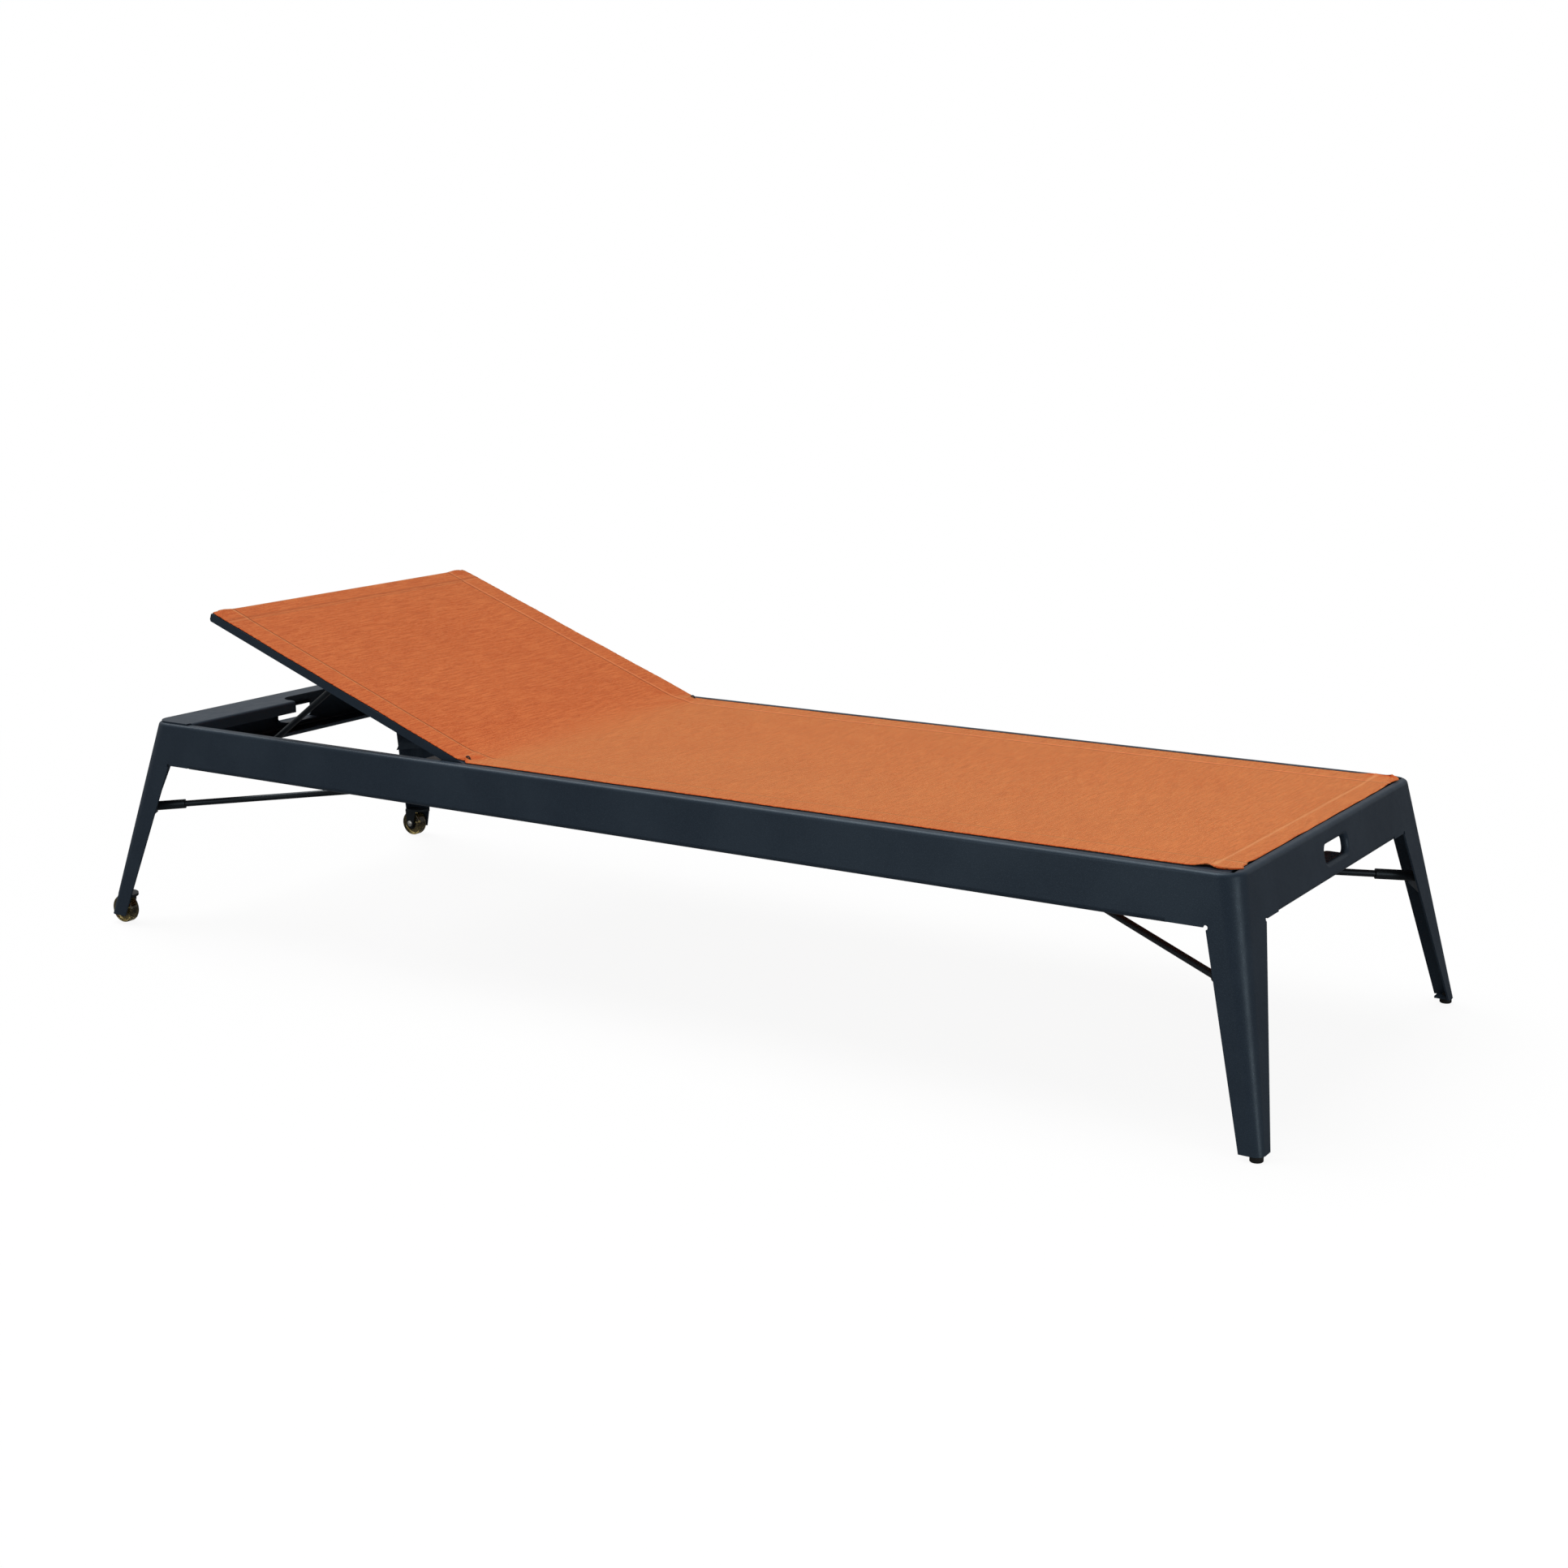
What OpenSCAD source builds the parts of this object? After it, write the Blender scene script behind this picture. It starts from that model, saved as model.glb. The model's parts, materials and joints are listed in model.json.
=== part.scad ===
// Reclining sun lounger: a folded and welded sheet-steel frame with four splayed
// legs, a fabric sling over a fixed seat frame and a hinged backrest, a stay that
// props the backrest on toothed racks, and two fixed castors at the head end.
// Millimetres. X runs from the head (-) to the foot (+), Y is across, Z is up.
// The origin is on the floor, under the middle of the whole lounger.

/* [Frame] */
// Length over the top corners of the frame
frame_l = 1860; // [1780:5:1940]
// Width over the top corners of the frame
frame_w = 636; // [610:2:670]
// Height of the frame's top flange above the floor
frame_h = 334; // [320:1:350]
// Height of the side rails and end aprons
apron_h = 68; // [64:1:74]
// Thickness of the folded steel sheet
sheet_t = 2.5; // [2:0.5:3]
// Outward lean of the sides, in degrees
side_lean = 8.8; // [7:0.1:10]
// Outward lean of the foot end, in degrees
foot_lean = 10.8; // [9:0.1:12]
// Outward lean of the head end, in degrees
head_lean = 13; // [11:0.1:14]

/* [Backrest] */
// Gap between the frame's edge and the bed along each side
bed_gap = 18; // [16:0.5:22]
// Length of the backrest from its hinge to its tip
back_l = 541; // [500:1:560]
// Angle between two neighbouring positions of the backrest, in degrees
recline_step = 10; // [8:0.5:11]
// Position drawn, counted from flat
drawn_position = 2; // [0:1:4]
// Distance from the hinge to the stay's pivot
stay_reach = 289; // [270:1:300]
// Slope of the stay at the highest position, in degrees
stay_slope = 70; // [66:1:76]

/* [Head plate] */
// Width of the plate that closes the head end
plate_w = 77; // [72:1:84]
// Width of the hand notch in the plate
notch_w = 152; // [110:2:180]
// Depth of the hand notch
notch_d = 40; // [30:1:46]

/* [Handles] */
// Length of the handle slots in the end aprons
slot_l = 80; // [70:1:110]
// Height of the handle slots
slot_h = 24; // [22:0.5:26]

/* [Castors and feet] */
// Diameter of the castor wheels
wheel_d = 45; // [43:0.5:46]
// Width of the castor wheels
wheel_w = 20; // [16:0.5:20]
// Diameter of the rubber feet
pad_d = 17; // [14:0.5:18]

/* [Hidden] */
$fn = 64;

steel = [0.13, 0.17, 0.21];
dark = [0.07, 0.07, 0.08];
fabric = [0.79, 0.44, 0.28];
zinc = [0.72, 0.71, 0.66];
amber = [0.42, 0.34, 0.16];

// Frame: bends, flanges and seams
bend_r = 6;
side_flange = 13;
foot_flange = 11;
head_flange = 11;
return_flange = 30;
head_return_flange = 52;
lip_h = 7;
corner_r = 25;
leg_corner_r = 13;
side_seam = 88;
end_seam = 104;
leg_step = 2;
relief_r = 3;
leg_gap_foot = 8;
leg_gap_head = 15;
apron_z = frame_h - apron_h;

// Leg widths on the side face and on the end face, below the apron and at the floor
foot_side_top = 48;
foot_side_low = 30;
foot_end_top = 75;
foot_end_low = 28;
head_side_top = 59;
head_side_low = 35;
head_end_top = 66;
head_end_low = 16;

// Handle slots: corner radius and length of the throat behind the sheet
throat_r = 9;
throat_l = 10;

// Head plate
plate_inset = 4;
plate_side_inset = 5;
plate_bend_r = 3;
plate_lip_h = 19;
notch_r = 24;

// Running fits, gaps, the overrun of cuts, and the position angles
run_gap = 0.05;
clear = 0.3;
over = 1;
position_n = 5;
positions = [for (i = [0:position_n - 1]) i * recline_step];
recline = positions[drawn_position];
top_recline = positions[position_n - 1];

// Bed: the bars that carry the sling
bed_w = frame_w - 2 * bed_gap;
bed_drop = 1;
bar_w = 20;
bar_d = 13;
bar_wall = 1.5;
bar_z = frame_h - bed_drop - bar_d / 2;
bar_in_y = bed_w / 2 - bar_w;
tip_gap = 18;
foot_gap = 7;
knuckle_gap = 1.5;
knuckle_l = 22;
low_tube_at = 34;
plug_t = 2;
plug_l = 12;
plug_chamfer = 3;
plug_edge = 1;

// Hinge: lugs, pins and the wire clips on the knuckles
lug_t = 3;
lug_l = 48;
pin_r = 4;
pin_head_r = 6;
pin_head_t = 2;
pin_tail = 1.5;
clip_loop_r = 3.8;
clip_wire_r = 1.1;
clip_in = 14;
clip_rise = 4;

// Sling: two flat panels of woven fabric on top of the bars
sling_t = 2;
sling_lift = 0.5;
sling_break = 10;
sling_foot_over = 2;

// Castors
wheel_r = wheel_d / 2;
axle_in = 18.6;
axle_r = 3;
axle_head_r = 5.5;
axle_head_t = 3;
axle_tail_gap = 0.6;
castor_plate_t = 3;
castor_plate_r = 27;
castor_plate_set = 3;
castor_rim_h = 4;
cheek_t = 2;
cheek_r = 8;
cheek_root_out = 10;
cheek_root_in = 14;
wheel_side_gap = 0.8;
wheel_top_gap = 2.5;
arch_gap = 3;
core_r = 12;
core_hub_r = 7;
core_hub_slope = 1;
core_recess = 2;
tread_inset = 0.5;
tread_edge_r = 4.5;

// Rubber feet and the tabs that hold them
pad_in = 10.5;
tab_t = 3;
tab_in = 13;
tab_l = 60;
stem_r = 3;
barb_r = 5;
barb_h = 2.5;
pad_edge = 1;

// How far each end reaches beyond the frame's top corners
castor_in = (frame_h - leg_gap_head) * tan(head_lean) - axle_in;
foot_reach = (frame_h - leg_gap_foot) * tan(foot_lean);
head_reach = castor_in + wheel_r;
mid_x = (head_reach - foot_reach) / 2;

// Cross tubes
tube_w = 30;
tube_h = 20;
tube_wall = 2;
tube_lift = 1;
tube_z = apron_z + lip_h + tube_lift;

// Places along the length, measured from the middle of the frame
hub_from_end = 459;
hinge_tube_from_hinge = 36;
head_x = -frame_l / 2;
foot_x = frame_l / 2;
hinge_x = head_x + plate_inset + plate_w + tip_gap + back_l;
hinge_z = bar_z;
seat_end_x = foot_x - foot_flange - foot_gap;
seat_start_x = hinge_x + bar_d / 2 + knuckle_gap;
hub_x = frame_l / 2 - hub_from_end;
hinge_tube_x = hinge_x + hinge_tube_from_hinge;

// Hangers under the seat's end bar
hanger_w = 30;
hanger_h = 26;
hanger_y = bed_w / 4;

// Braces
brace_r = 5;
brace_from_end = 16;
brace_from_side = 22;
brace_drop = 74;
ferrule_r = 7.5;
ferrule_l = 58;
ferrule_floor = 2;
socket_l = 8;
hub_r = 20;
hub_h = 16;
hub_post_r = 8;
hub_drop = 44;
hub_z = tube_z - hub_drop;
brace_leg_z = apron_z - brace_drop;
gusset_t = 4;
gusset_w = 120;
gusset_h = 34;

// Stay and racks
stay_r = 4.5;
stay_leg_in = 38;
stay_foot_past = 5;
rack_rise = 16;
rack_z = apron_z + rack_rise;
rack_t = 4;
rack_in = 21.5;
rack_end = 22;
rack_gap = 0.7;
tooth_d = 6;
tooth_slope = 4.5;
tooth_lead = 1;
bush_w = 8;
bush_l = 20;

// How far a leaning face has moved out at height z
function lean_out(lean, z) = (frame_h - z) * tan(lean);
// Faces of the frame at height z, from the middle of the frame
function side_y(z) = frame_w / 2 + lean_out(side_lean, z);
function end_x(lean, z) = frame_l / 2 + lean_out(lean, z);
// Thickness of a leaning sheet, measured level
function level_t(lean) = sheet_t / cos(lean);
// Centre of a bend of radius r under a corner whose face leans outward
function bend_in(r, lean) = r * (1 - sin(lean)) / cos(lean);

// The stay's pivot and foot while the backrest is raised by angle a
function pivot_x(a) = hinge_x - stay_reach * cos(a);
function pivot_z(a) = hinge_z + stay_reach * sin(a);
stay_l = (pivot_z(top_recline) - rack_z) / sin(stay_slope);
function stay_angle(a) = asin((pivot_z(a) - rack_z) / stay_l);
function stay_foot_x(a) = pivot_x(a) - stay_l * cos(stay_angle(a));
rack_y = side_y(apron_z) - rack_in;
stay_leg_y = bed_w / 2 - stay_leg_in;
stay_foot_y = rack_y + rack_t / 2 + stay_foot_past;

// Moves a shape drawn in the first quadrant to one end and one side of the lounger
module in_frame(end = 1, side = 1) {
  translate([mid_x, 0, 0])
    mirror([end < 0 ? 1 : 0, 0, 0])
      mirror([0, side < 0 ? 1 : 0, 0])
        children();
}

// Both sides at once
module both_sides(end = 1) {
  in_frame(end, 1) children();
  in_frame(end, -1) children();
}

// Turns the backrest's own frame, hinge at its origin and tip at -X, to its recline
module in_backrest() {
  translate([mid_x + hinge_x, 0, hinge_z])
    rotate([0, recline, 0])
      children();
}

// A cylinder from point a to point b
module rod_between(a, b, r) {
  v = b - a;
  translate(a)
    rotate([0, acos(v.z / norm(v)), atan2(v.y, v.x)])
      cylinder(h = norm(v), r = r);
}

// A rectangular tube along X, its corner at the origin
module box_tube(l, w, h, wall) {
  difference() {
    cube([l, w, h]);
    translate([-over, wall, wall])
      cube([l + 2 * over, w - 2 * wall, h - 2 * wall]);
  }
}

// A rounded rectangle, centred
module rounded_rect(w, h, r) {
  square([w - 2 * r, h], center = true);
  square([w, h - 2 * r], center = true);
  for (x = [-1, 1])
    for (y = [-1, 1])
      translate([x * (w / 2 - r), y * (h / 2 - r)])
        circle(r);
}

// A slice of a ring between two angles less than 180 degrees apart
module ring_slice(r, t, a0, a1) {
  am = (a0 + a1) / 2;
  intersection() {
    difference() {
      circle(r);
      circle(r - t);
    }
    polygon([[0, 0], 2 * r * [cos(a0), sin(a0)], 2 * r * [cos(am), sin(am)], 2 * r * [cos(a1), sin(a1)]]);
  }
}

// Points along an arc, ends included
function arc(c, r, a0, a1, n = 6) =
  [for (i = [0:n]) c + r * [cos(a0 + (a1 - a0) * i / n), sin(a0 + (a1 - a0) * i / n)]];

// Section of a rail: top flange, web, return flange and upturned lip. Drawn with the
// web upright, its outer face on x = 0 and the top corner at the origin.
module rail_section(lean, flange, return_w) {
  r = bend_r;
  t = sheet_t;
  in = [-cos(lean), sin(lean)];
  up = [sin(lean), cos(lean)];
  corner = [0, -apron_h / cos(lean)];
  top = [-r, -bend_in(r, lean)];
  low = corner + [-r, r * (1 + sin(lean)) / cos(lean)];
  lip = corner + in * (return_w - r) + up * r;
  a_up = 90 - lean;
  a_down = -90 - lean;
  a_in = -180 - lean;
  polygon(concat(
    [in * flange],
    arc(top, r, a_up, 0),
    arc(low, r, 0, a_down),
    arc(lip, r, a_down, a_in),
    [corner + in * return_w + up * lip_h, corner + in * (return_w - t) + up * lip_h],
    arc(lip, r - t, a_in, a_down),
    arc(low, r - t, a_down, 0),
    arc(top, r - t, 0, a_up),
    [in * flange - up * t]
  ));
}

module side_rail() {
  l = frame_l - 2 * side_seam;
  translate([-l / 2, frame_w / 2, frame_h])
    rotate([side_lean, 0, 0])
      rotate([90, 0, 90])
        linear_extrude(l)
          rail_section(side_lean, side_flange, return_flange);
}

// Rim of a handle slot: a flare that turns the sheet inward, then a short throat.
// Drawn around the slot, with the sheet's outer face at z = 0 and inward as -z.
module slot_rim() {
  straight_l = slot_l - 2 * throat_r;
  straight_h = slot_h - 2 * throat_r;
  for (x = [-1, 1])
    for (y = [-1, 1])
      translate([x * straight_l / 2, y * straight_h / 2, 0])
        rotate([0, 0, atan2(y, x) - 45])
          rotate_extrude(angle = 90)
            translate([throat_r, 0])
              rim_section();
  for (s = [-1, 1]) {
    translate([-s * straight_l / 2, s * slot_h / 2, 0])
      rotate([90, 0, s * 90])
        linear_extrude(straight_l)
          rim_section();
    translate([s * slot_l / 2, s * straight_h / 2, 0])
      rotate([90, 0, s < 0 ? 180 : 0])
        linear_extrude(straight_h)
          rim_section();
  }
}

module rim_section() {
  translate([bend_r, -bend_r])
    ring_slice(bend_r, sheet_t, 90, 180);
  translate([0, -throat_l])
    square([sheet_t, throat_l - bend_r]);
}

// An end apron with its handle slot, at the +X end. Drawn with the web upright and
// tipped to its lean at the end.
module end_apron(lean, flange, return_w) {
  l = frame_w - 2 * end_seam;
  mid = -apron_h / cos(lean) / 2;
  translate([frame_l / 2, 0, frame_h])
    rotate([0, -lean, 0]) {
      difference() {
        translate([0, l / 2, 0])
          rotate([90, 0, 0])
            linear_extrude(l)
              rail_section(lean, flange, return_w);
        translate([-throat_l, 0, mid])
          rotate([90, 0, 90])
            linear_extrude(2 * throat_l)
              rounded_rect(slot_l + 2 * bend_r, slot_h + 2 * bend_r, throat_r + bend_r);
      }
      translate([0, 0, mid])
        rotate([90, 0, 90])
          slot_rim();
    }
}

// Solid block under one corner of the frame, shrunk inward by inset on every face:
// the top edge is a bend, the upright edge is a cone that tightens towards the floor
module corner_block(lean, z_low, inset) {
  r = bend_r - inset;
  cx = frame_l / 2 - bend_in(bend_r, lean);
  cy = frame_w / 2 - bend_in(bend_r, side_lean);
  lx = end_x(lean, z_low);
  ly = side_y(z_low);
  sx = frame_l / 2 - side_seam;
  sy = frame_w / 2 - end_seam;
  z_bend = frame_h - bend_r;
  hull() {
    translate([cx - corner_r, cy - corner_r, z_bend])
      rotate_extrude($fn = 96)
        translate([corner_r, 0])
          circle(r, $fn = 32);
    translate([sx - inset, cy, z_bend])
      rotate([0, 90, 0])
        cylinder(h = 1, r = r, $fn = 32);
    translate([cx, sy - inset, z_bend])
      rotate([-90, 0, 0])
        cylinder(h = 1, r = r, $fn = 32);
    translate([sx - inset, sy - inset, frame_h - inset - 1])
      cube(1);
    translate([lx - leg_corner_r, ly - leg_corner_r, z_low])
      cylinder(h = 0.01, r = leg_corner_r - inset, $fn = 96);
    translate([sx - inset, ly - inset / cos(side_lean) - 1, z_low])
      cube([1, 1, 0.01]);
    translate([lx - inset / cos(lean) - 1, sy - inset, z_low])
      cube([1, 1, 0.01]);
    translate([sx - inset, sy - inset, z_low])
      cube([1, 1, 0.01]);
  }
}

// Space inside one leg and its corner
module leg_inside(lean, z_low) {
  corner_block(lean, z_low - leg_step, sheet_t);
}

// One leg with its share of the side, the apron and the top flange. The widths are
// its side face and its end face, each below the apron and at the floor.
module leg(lean, z_low, side_top, side_low, end_top, end_low, flange) {
  z_step = apron_z + leg_step;
  x_seam = frame_l / 2 - side_seam;
  y_seam = frame_w / 2 - end_seam;
  x_top = end_x(lean, z_step) - side_top;
  x_low = end_x(lean, z_low) - side_low;
  y_top = side_y(z_step) - end_top;
  y_low = side_y(z_low) - end_low;
  reach = frame_w;
  difference() {
    corner_block(lean, z_low, 0);
    leg_inside(lean, z_low);
    // opening inside the top flange
    translate([0, 0, frame_h - 2 * bend_r])
      linear_extrude(3 * bend_r)
        translate([x_seam - reach, y_seam - reach])
          square([frame_l / 2 - flange - x_seam + reach, frame_w / 2 - side_flange - y_seam + reach]);
    // below the side rail, and the inner edge of the leg's side face
    translate([0, frame_w, 0])
      rotate([90, 0, 0])
        linear_extrude(frame_w) {
          polygon([[x_seam - reach, -1], [x_low, -1], [x_low, z_low], [x_top, z_step], [x_seam - reach, z_step]]);
          translate([x_top, z_step])
            circle(relief_r);
        }
    // below the end apron, and the inner edge of the leg's end face
    rotate([90, 0, 90])
      linear_extrude(frame_l) {
        polygon([[y_seam - reach, -1], [y_low, -1], [y_low, z_low], [y_top, z_step], [y_seam - reach, z_step]]);
        translate([y_top, z_step])
          circle(relief_r);
      }
    // beyond the seams
    translate([x_seam - reach, y_seam - reach, -1])
      cube([reach, 2 * reach, frame_h + 2]);
    translate([x_seam - reach, y_seam - reach, -1])
      cube([3 * reach, reach, frame_h + 2]);
  }
}

module foot_leg_shape() {
  leg(foot_lean, leg_gap_foot, foot_side_top, foot_side_low, foot_end_top, foot_end_low, foot_flange);
}

// The head legs are cut away around the castor wheels
module head_leg_shape() {
  difference() {
    leg(head_lean, leg_gap_head, head_side_top, head_side_low, head_end_top, head_end_low, head_flange);
    translate([axle_x(), wheel_y() - wheel_w, wheel_r])
      rotate([-90, 0, 0])
        cylinder(h = 1.5 * wheel_w + wheel_side_gap, r = wheel_r + arch_gap);
  }
}

// Head plate: rounded outer corners, a hand notch and a lip along its inner edge,
// which ends at the flanges of the side rails
module head_plate_shape() {
  t = sheet_t;
  x_out = frame_l / 2 - plate_inset;
  x_in = x_out - plate_w;
  half = frame_w / 2 - plate_side_inset;
  lip_end = frame_w / 2 - side_flange - clear;
  r = plate_bend_r + t;
  z = frame_h + t;
  translate([0, 0, frame_h])
    linear_extrude(t)
      difference() {
        union() {
          translate([x_in + r, -half])
            square([x_out - x_in - r - corner_r, 2 * half]);
          translate([x_in + r, corner_r - half])
            square([x_out - x_in - r, 2 * (half - corner_r)]);
          for (s = [-1, 1])
            translate([x_out - corner_r, s * (half - corner_r)])
              circle(corner_r);
        }
        translate([x_in, 0])
          rounded_rect(2 * notch_d, notch_w, notch_r);
      }
  // the bent lip, either side of the notch
  for (s = [-1, 1])
    translate([0, s < 0 ? -notch_w / 2 : lip_end, 0])
      rotate([90, 0, 0])
        linear_extrude(lip_end - notch_w / 2) {
          translate([x_in + r, z - r])
            ring_slice(r, t, 90, 180);
          translate([x_in, z - plate_lip_h])
            square([t, plate_lip_h - r]);
        }
}

// Cross tube between the side rails, its ends cut to the lean of the webs
module cross_tube(x) {
  y_low = side_y(tube_z) - level_t(side_lean);
  y_top = side_y(tube_z + tube_h) - level_t(side_lean);
  translate([x - tube_w / 2, 0, tube_z])
    difference() {
      rotate([90, 0, 90])
        linear_extrude(tube_w)
          polygon([[-y_low, 0], [y_low, 0], [y_top, tube_h], [-y_top, tube_h]]);
      translate([tube_wall, -frame_w, tube_wall])
        cube([tube_w - 2 * tube_wall, 2 * frame_w, tube_h - 2 * tube_wall]);
    }
}

// Seat bar along one side, its foot end mitred off by the end bar
module seat_bar_shape() {
  l = seat_end_x - seat_start_x;
  translate([seat_start_x, bed_w / 2 - bar_w, bar_z - bar_d / 2])
    box_tube(l, bar_w, bar_d, bar_wall);
}

module seat_end_bar_shape() {
  l = bed_w - 2 * bar_w;
  translate([seat_end_x, -l / 2, bar_z - bar_d / 2])
    rotate([0, 0, 90])
      box_tube(l, bar_w, bar_d, bar_wall);
}

// Folded saddle that carries a seat bar on a cross tube
module saddle(x) {
  h = bar_z - bar_d / 2 - tube_z - tube_h;
  t = sheet_t;
  translate([x - tube_w / 2, bed_w / 2 - bar_w, tube_z + tube_h]) {
    cube([tube_w, bar_w, t]);
    translate([0, 0, h - t])
      cube([tube_w, bar_w, t]);
    translate([0, 0, t])
      cube([tube_w, t, h - 2 * t]);
  }
}

// Bracket that carries the seat's end bar on the foot apron
module end_hanger(y) {
  z_top = bar_z - bar_d / 2;
  z_low = z_top - hanger_h;
  t = sheet_t;
  function web_x(z) = end_x(foot_lean, z) - level_t(foot_lean);
  translate([0, y + hanger_w / 2, 0])
    rotate([90, 0, 0])
      linear_extrude(hanger_w)
        polygon([
          [seat_end_x - bar_w, z_top],
          [seat_end_x - bar_w, z_top - t],
          [web_x(z_top - t) - t, z_top - t],
          [web_x(z_low) - t, z_low],
          [web_x(z_low), z_low],
          [web_x(z_top), z_top]
        ]);
}

// Lug on the inside of the seat bar's end, with the hole for the hinge pin
module hinge_lug() {
  difference() {
    translate([0, bar_in_y, 0])
      rotate([90, 0, 0])
        linear_extrude(lug_t) {
          translate([hinge_x, bar_z])
            circle(bar_d / 2);
          translate([hinge_x, bar_z - bar_d / 2])
            square([lug_l, bar_d]);
        }
    translate([hinge_x, 0, hinge_z])
      rotate([-90, 0, 0])
        cylinder(h = bed_w, r = pin_r + run_gap);
  }
}

// Hinge pin with a flat head inside, its plain end just past the knuckle
module hinge_pin() {
  translate([hinge_x, bar_in_y - lug_t - pin_head_t, hinge_z])
    rotate([-90, 0, 0]) {
      cylinder(h = pin_head_t, r = pin_head_r);
      cylinder(h = pin_head_t + lug_t + bar_w + pin_tail, r = pin_r);
    }
}

// Wire clip that stands on the knuckle and up through the sling. It is upright when
// the backrest is at the middle of its travel.
module hinge_clip() {
  z = bar_d / 2 + clip_rise;
  difference() {
    rotate([0, -top_recline / 2, 0])
      translate([0, bed_w / 2 - clip_in, z]) {
        rotate([90, 0, 0])
          rotate_extrude(angle = 180)
            translate([clip_loop_r, 0])
              circle(clip_wire_r, $fn = 24);
        for (s = [-1, 1])
          translate([s * clip_loop_r, 0, -z / 2])
            cylinder(h = z / 2, r = clip_wire_r, $fn = 24);
      }
    rotate([-90, 0, 0])
      cylinder(h = bed_w, r = bar_d / 2);
    translate([-back_l, 0, -bar_d / 2])
      cube([back_l, bed_w, bar_d]);
  }
}

// Ends of a brace: inside the leg corner, and at the hub under the cross tube
function brace_leg_end(lean) =
  [end_x(lean, brace_leg_z) - brace_from_end, side_y(brace_leg_z) - brace_from_side, brace_leg_z];
function brace_hub_end() = [hub_x, 0, hub_z];
function brace_at(lean, d) =
  let (a = brace_leg_end(lean), b = brace_hub_end(), n = (b - a) / norm(b - a)) a + n * d;
function brace_span(lean) = norm(brace_hub_end() - brace_leg_end(lean));

function brace_start() = gusset_t / 2 + ferrule_floor;
function brace_stop(lean) = brace_span(lean) - hub_r + socket_l;

module brace_rod(lean) {
  rod_between(brace_at(lean, brace_start()), brace_at(lean, brace_stop(lean)), brace_r);
}

module brace_ferrule(lean) {
  difference() {
    rod_between(brace_at(lean, gusset_t / 2), brace_at(lean, ferrule_l), ferrule_r);
    rod_between(brace_at(lean, brace_start()), brace_at(lean, ferrule_l + 1), brace_r + run_gap);
  }
}

// Plate across the inside of a leg's corner, square to its brace
module brace_gusset(lean, z_low) {
  a = brace_leg_end(lean);
  v = brace_hub_end() - a;
  intersection() {
    translate(a)
      rotate([0, acos(v.z / norm(v)), atan2(v.y, v.x)])
        translate([-gusset_h / 2, -gusset_w / 2, -gusset_t / 2])
          cube([gusset_h, gusset_w, gusset_t]);
    leg_inside(lean, z_low);
  }
}

module brace_hub(lean) {
  difference() {
    translate([hub_x, 0, 0]) {
      translate([0, 0, hub_z - hub_h / 2])
        cylinder(h = hub_h, r = hub_r);
      translate([0, 0, hub_z])
        cylinder(h = tube_z - hub_z, r = hub_post_r);
    }
    for (s = [0, 1])
      mirror([0, s, 0])
        rod_between(brace_at(lean, 0), brace_at(lean, brace_stop(lean)), brace_r + run_gap);
  }
}

// Toothed rack that stands on the rail's return flange, one notch for each position
module rack_shape() {
  z_low = apron_z + sheet_t;
  z_tip = rack_z - stay_r - rack_gap;
  x0 = stay_foot_x(positions[0]) - rack_end;
  x1 = stay_foot_x(top_recline) + rack_end;
  top_w = stay_r + tooth_slope;
  translate([0, rack_y + rack_t / 2, 0])
    rotate([90, 0, 0])
      linear_extrude(rack_t)
        difference() {
          translate([x0, z_low])
            square([x1 - x0, z_tip - z_low]);
          for (a = positions)
            translate([stay_foot_x(a), z_tip])
              polygon([
                [-top_w, tooth_lead],
                [-stay_r, -tooth_d],
                [stay_r, -tooth_d],
                [stay_r + tooth_lead, tooth_lead]
              ]);
        }
}

// The stay: a top rod that turns in the bushes, two legs, and feet turned outward.
// Drawn with the pivot at the origin and the legs along -X.
module stay_shape() {
  rotate([90, 0, 0])
    cylinder(h = 2 * (bar_in_y - clear), r = stay_r, center = true);
  for (s = [-1, 1]) {
    translate([0, s * stay_leg_y, 0])
      rotate([0, -90, 0])
        cylinder(h = stay_l, r = stay_r);
    translate([-stay_l, s * stay_leg_y, 0])
      sphere(stay_r);
    translate([-stay_l, s * stay_leg_y, 0])
      rotate([-s * 90, 0, 0])
        cylinder(h = stay_foot_y - stay_leg_y, r = stay_r);
  }
}

// Bush on the inside of each backrest bar for the stay's top rod
module stay_bush() {
  difference() {
    translate([-stay_reach - bush_l / 2, bar_in_y - bush_w, -bar_d / 2])
      cube([bush_l, bush_w, bar_d]);
    translate([-stay_reach, bar_in_y - bush_w - over, 0])
      rotate([-90, 0, 0])
        cylinder(h = bush_w - clear / 2 + over, r = stay_r + run_gap);
  }
}

// Backrest bar, open at its tip and solid at its rounded knuckle
module back_bar_shape() {
  difference() {
    union() {
      translate([plug_t - back_l, bar_in_y, -bar_d / 2])
        cube([back_l - plug_t, bar_w, bar_d]);
      translate([0, bar_in_y, 0])
        rotate([-90, 0, 0])
          cylinder(h = bar_w, r = bar_d / 2);
    }
    translate([-back_l, bar_in_y + bar_wall, bar_wall - bar_d / 2])
      cube([back_l - knuckle_l, bar_w - 2 * bar_wall, bar_d - 2 * bar_wall]);
    translate([0, bar_in_y - 1, 0])
      rotate([-90, 0, 0])
        cylinder(h = bar_w + 2, r = pin_r + run_gap);
  }
}

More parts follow.
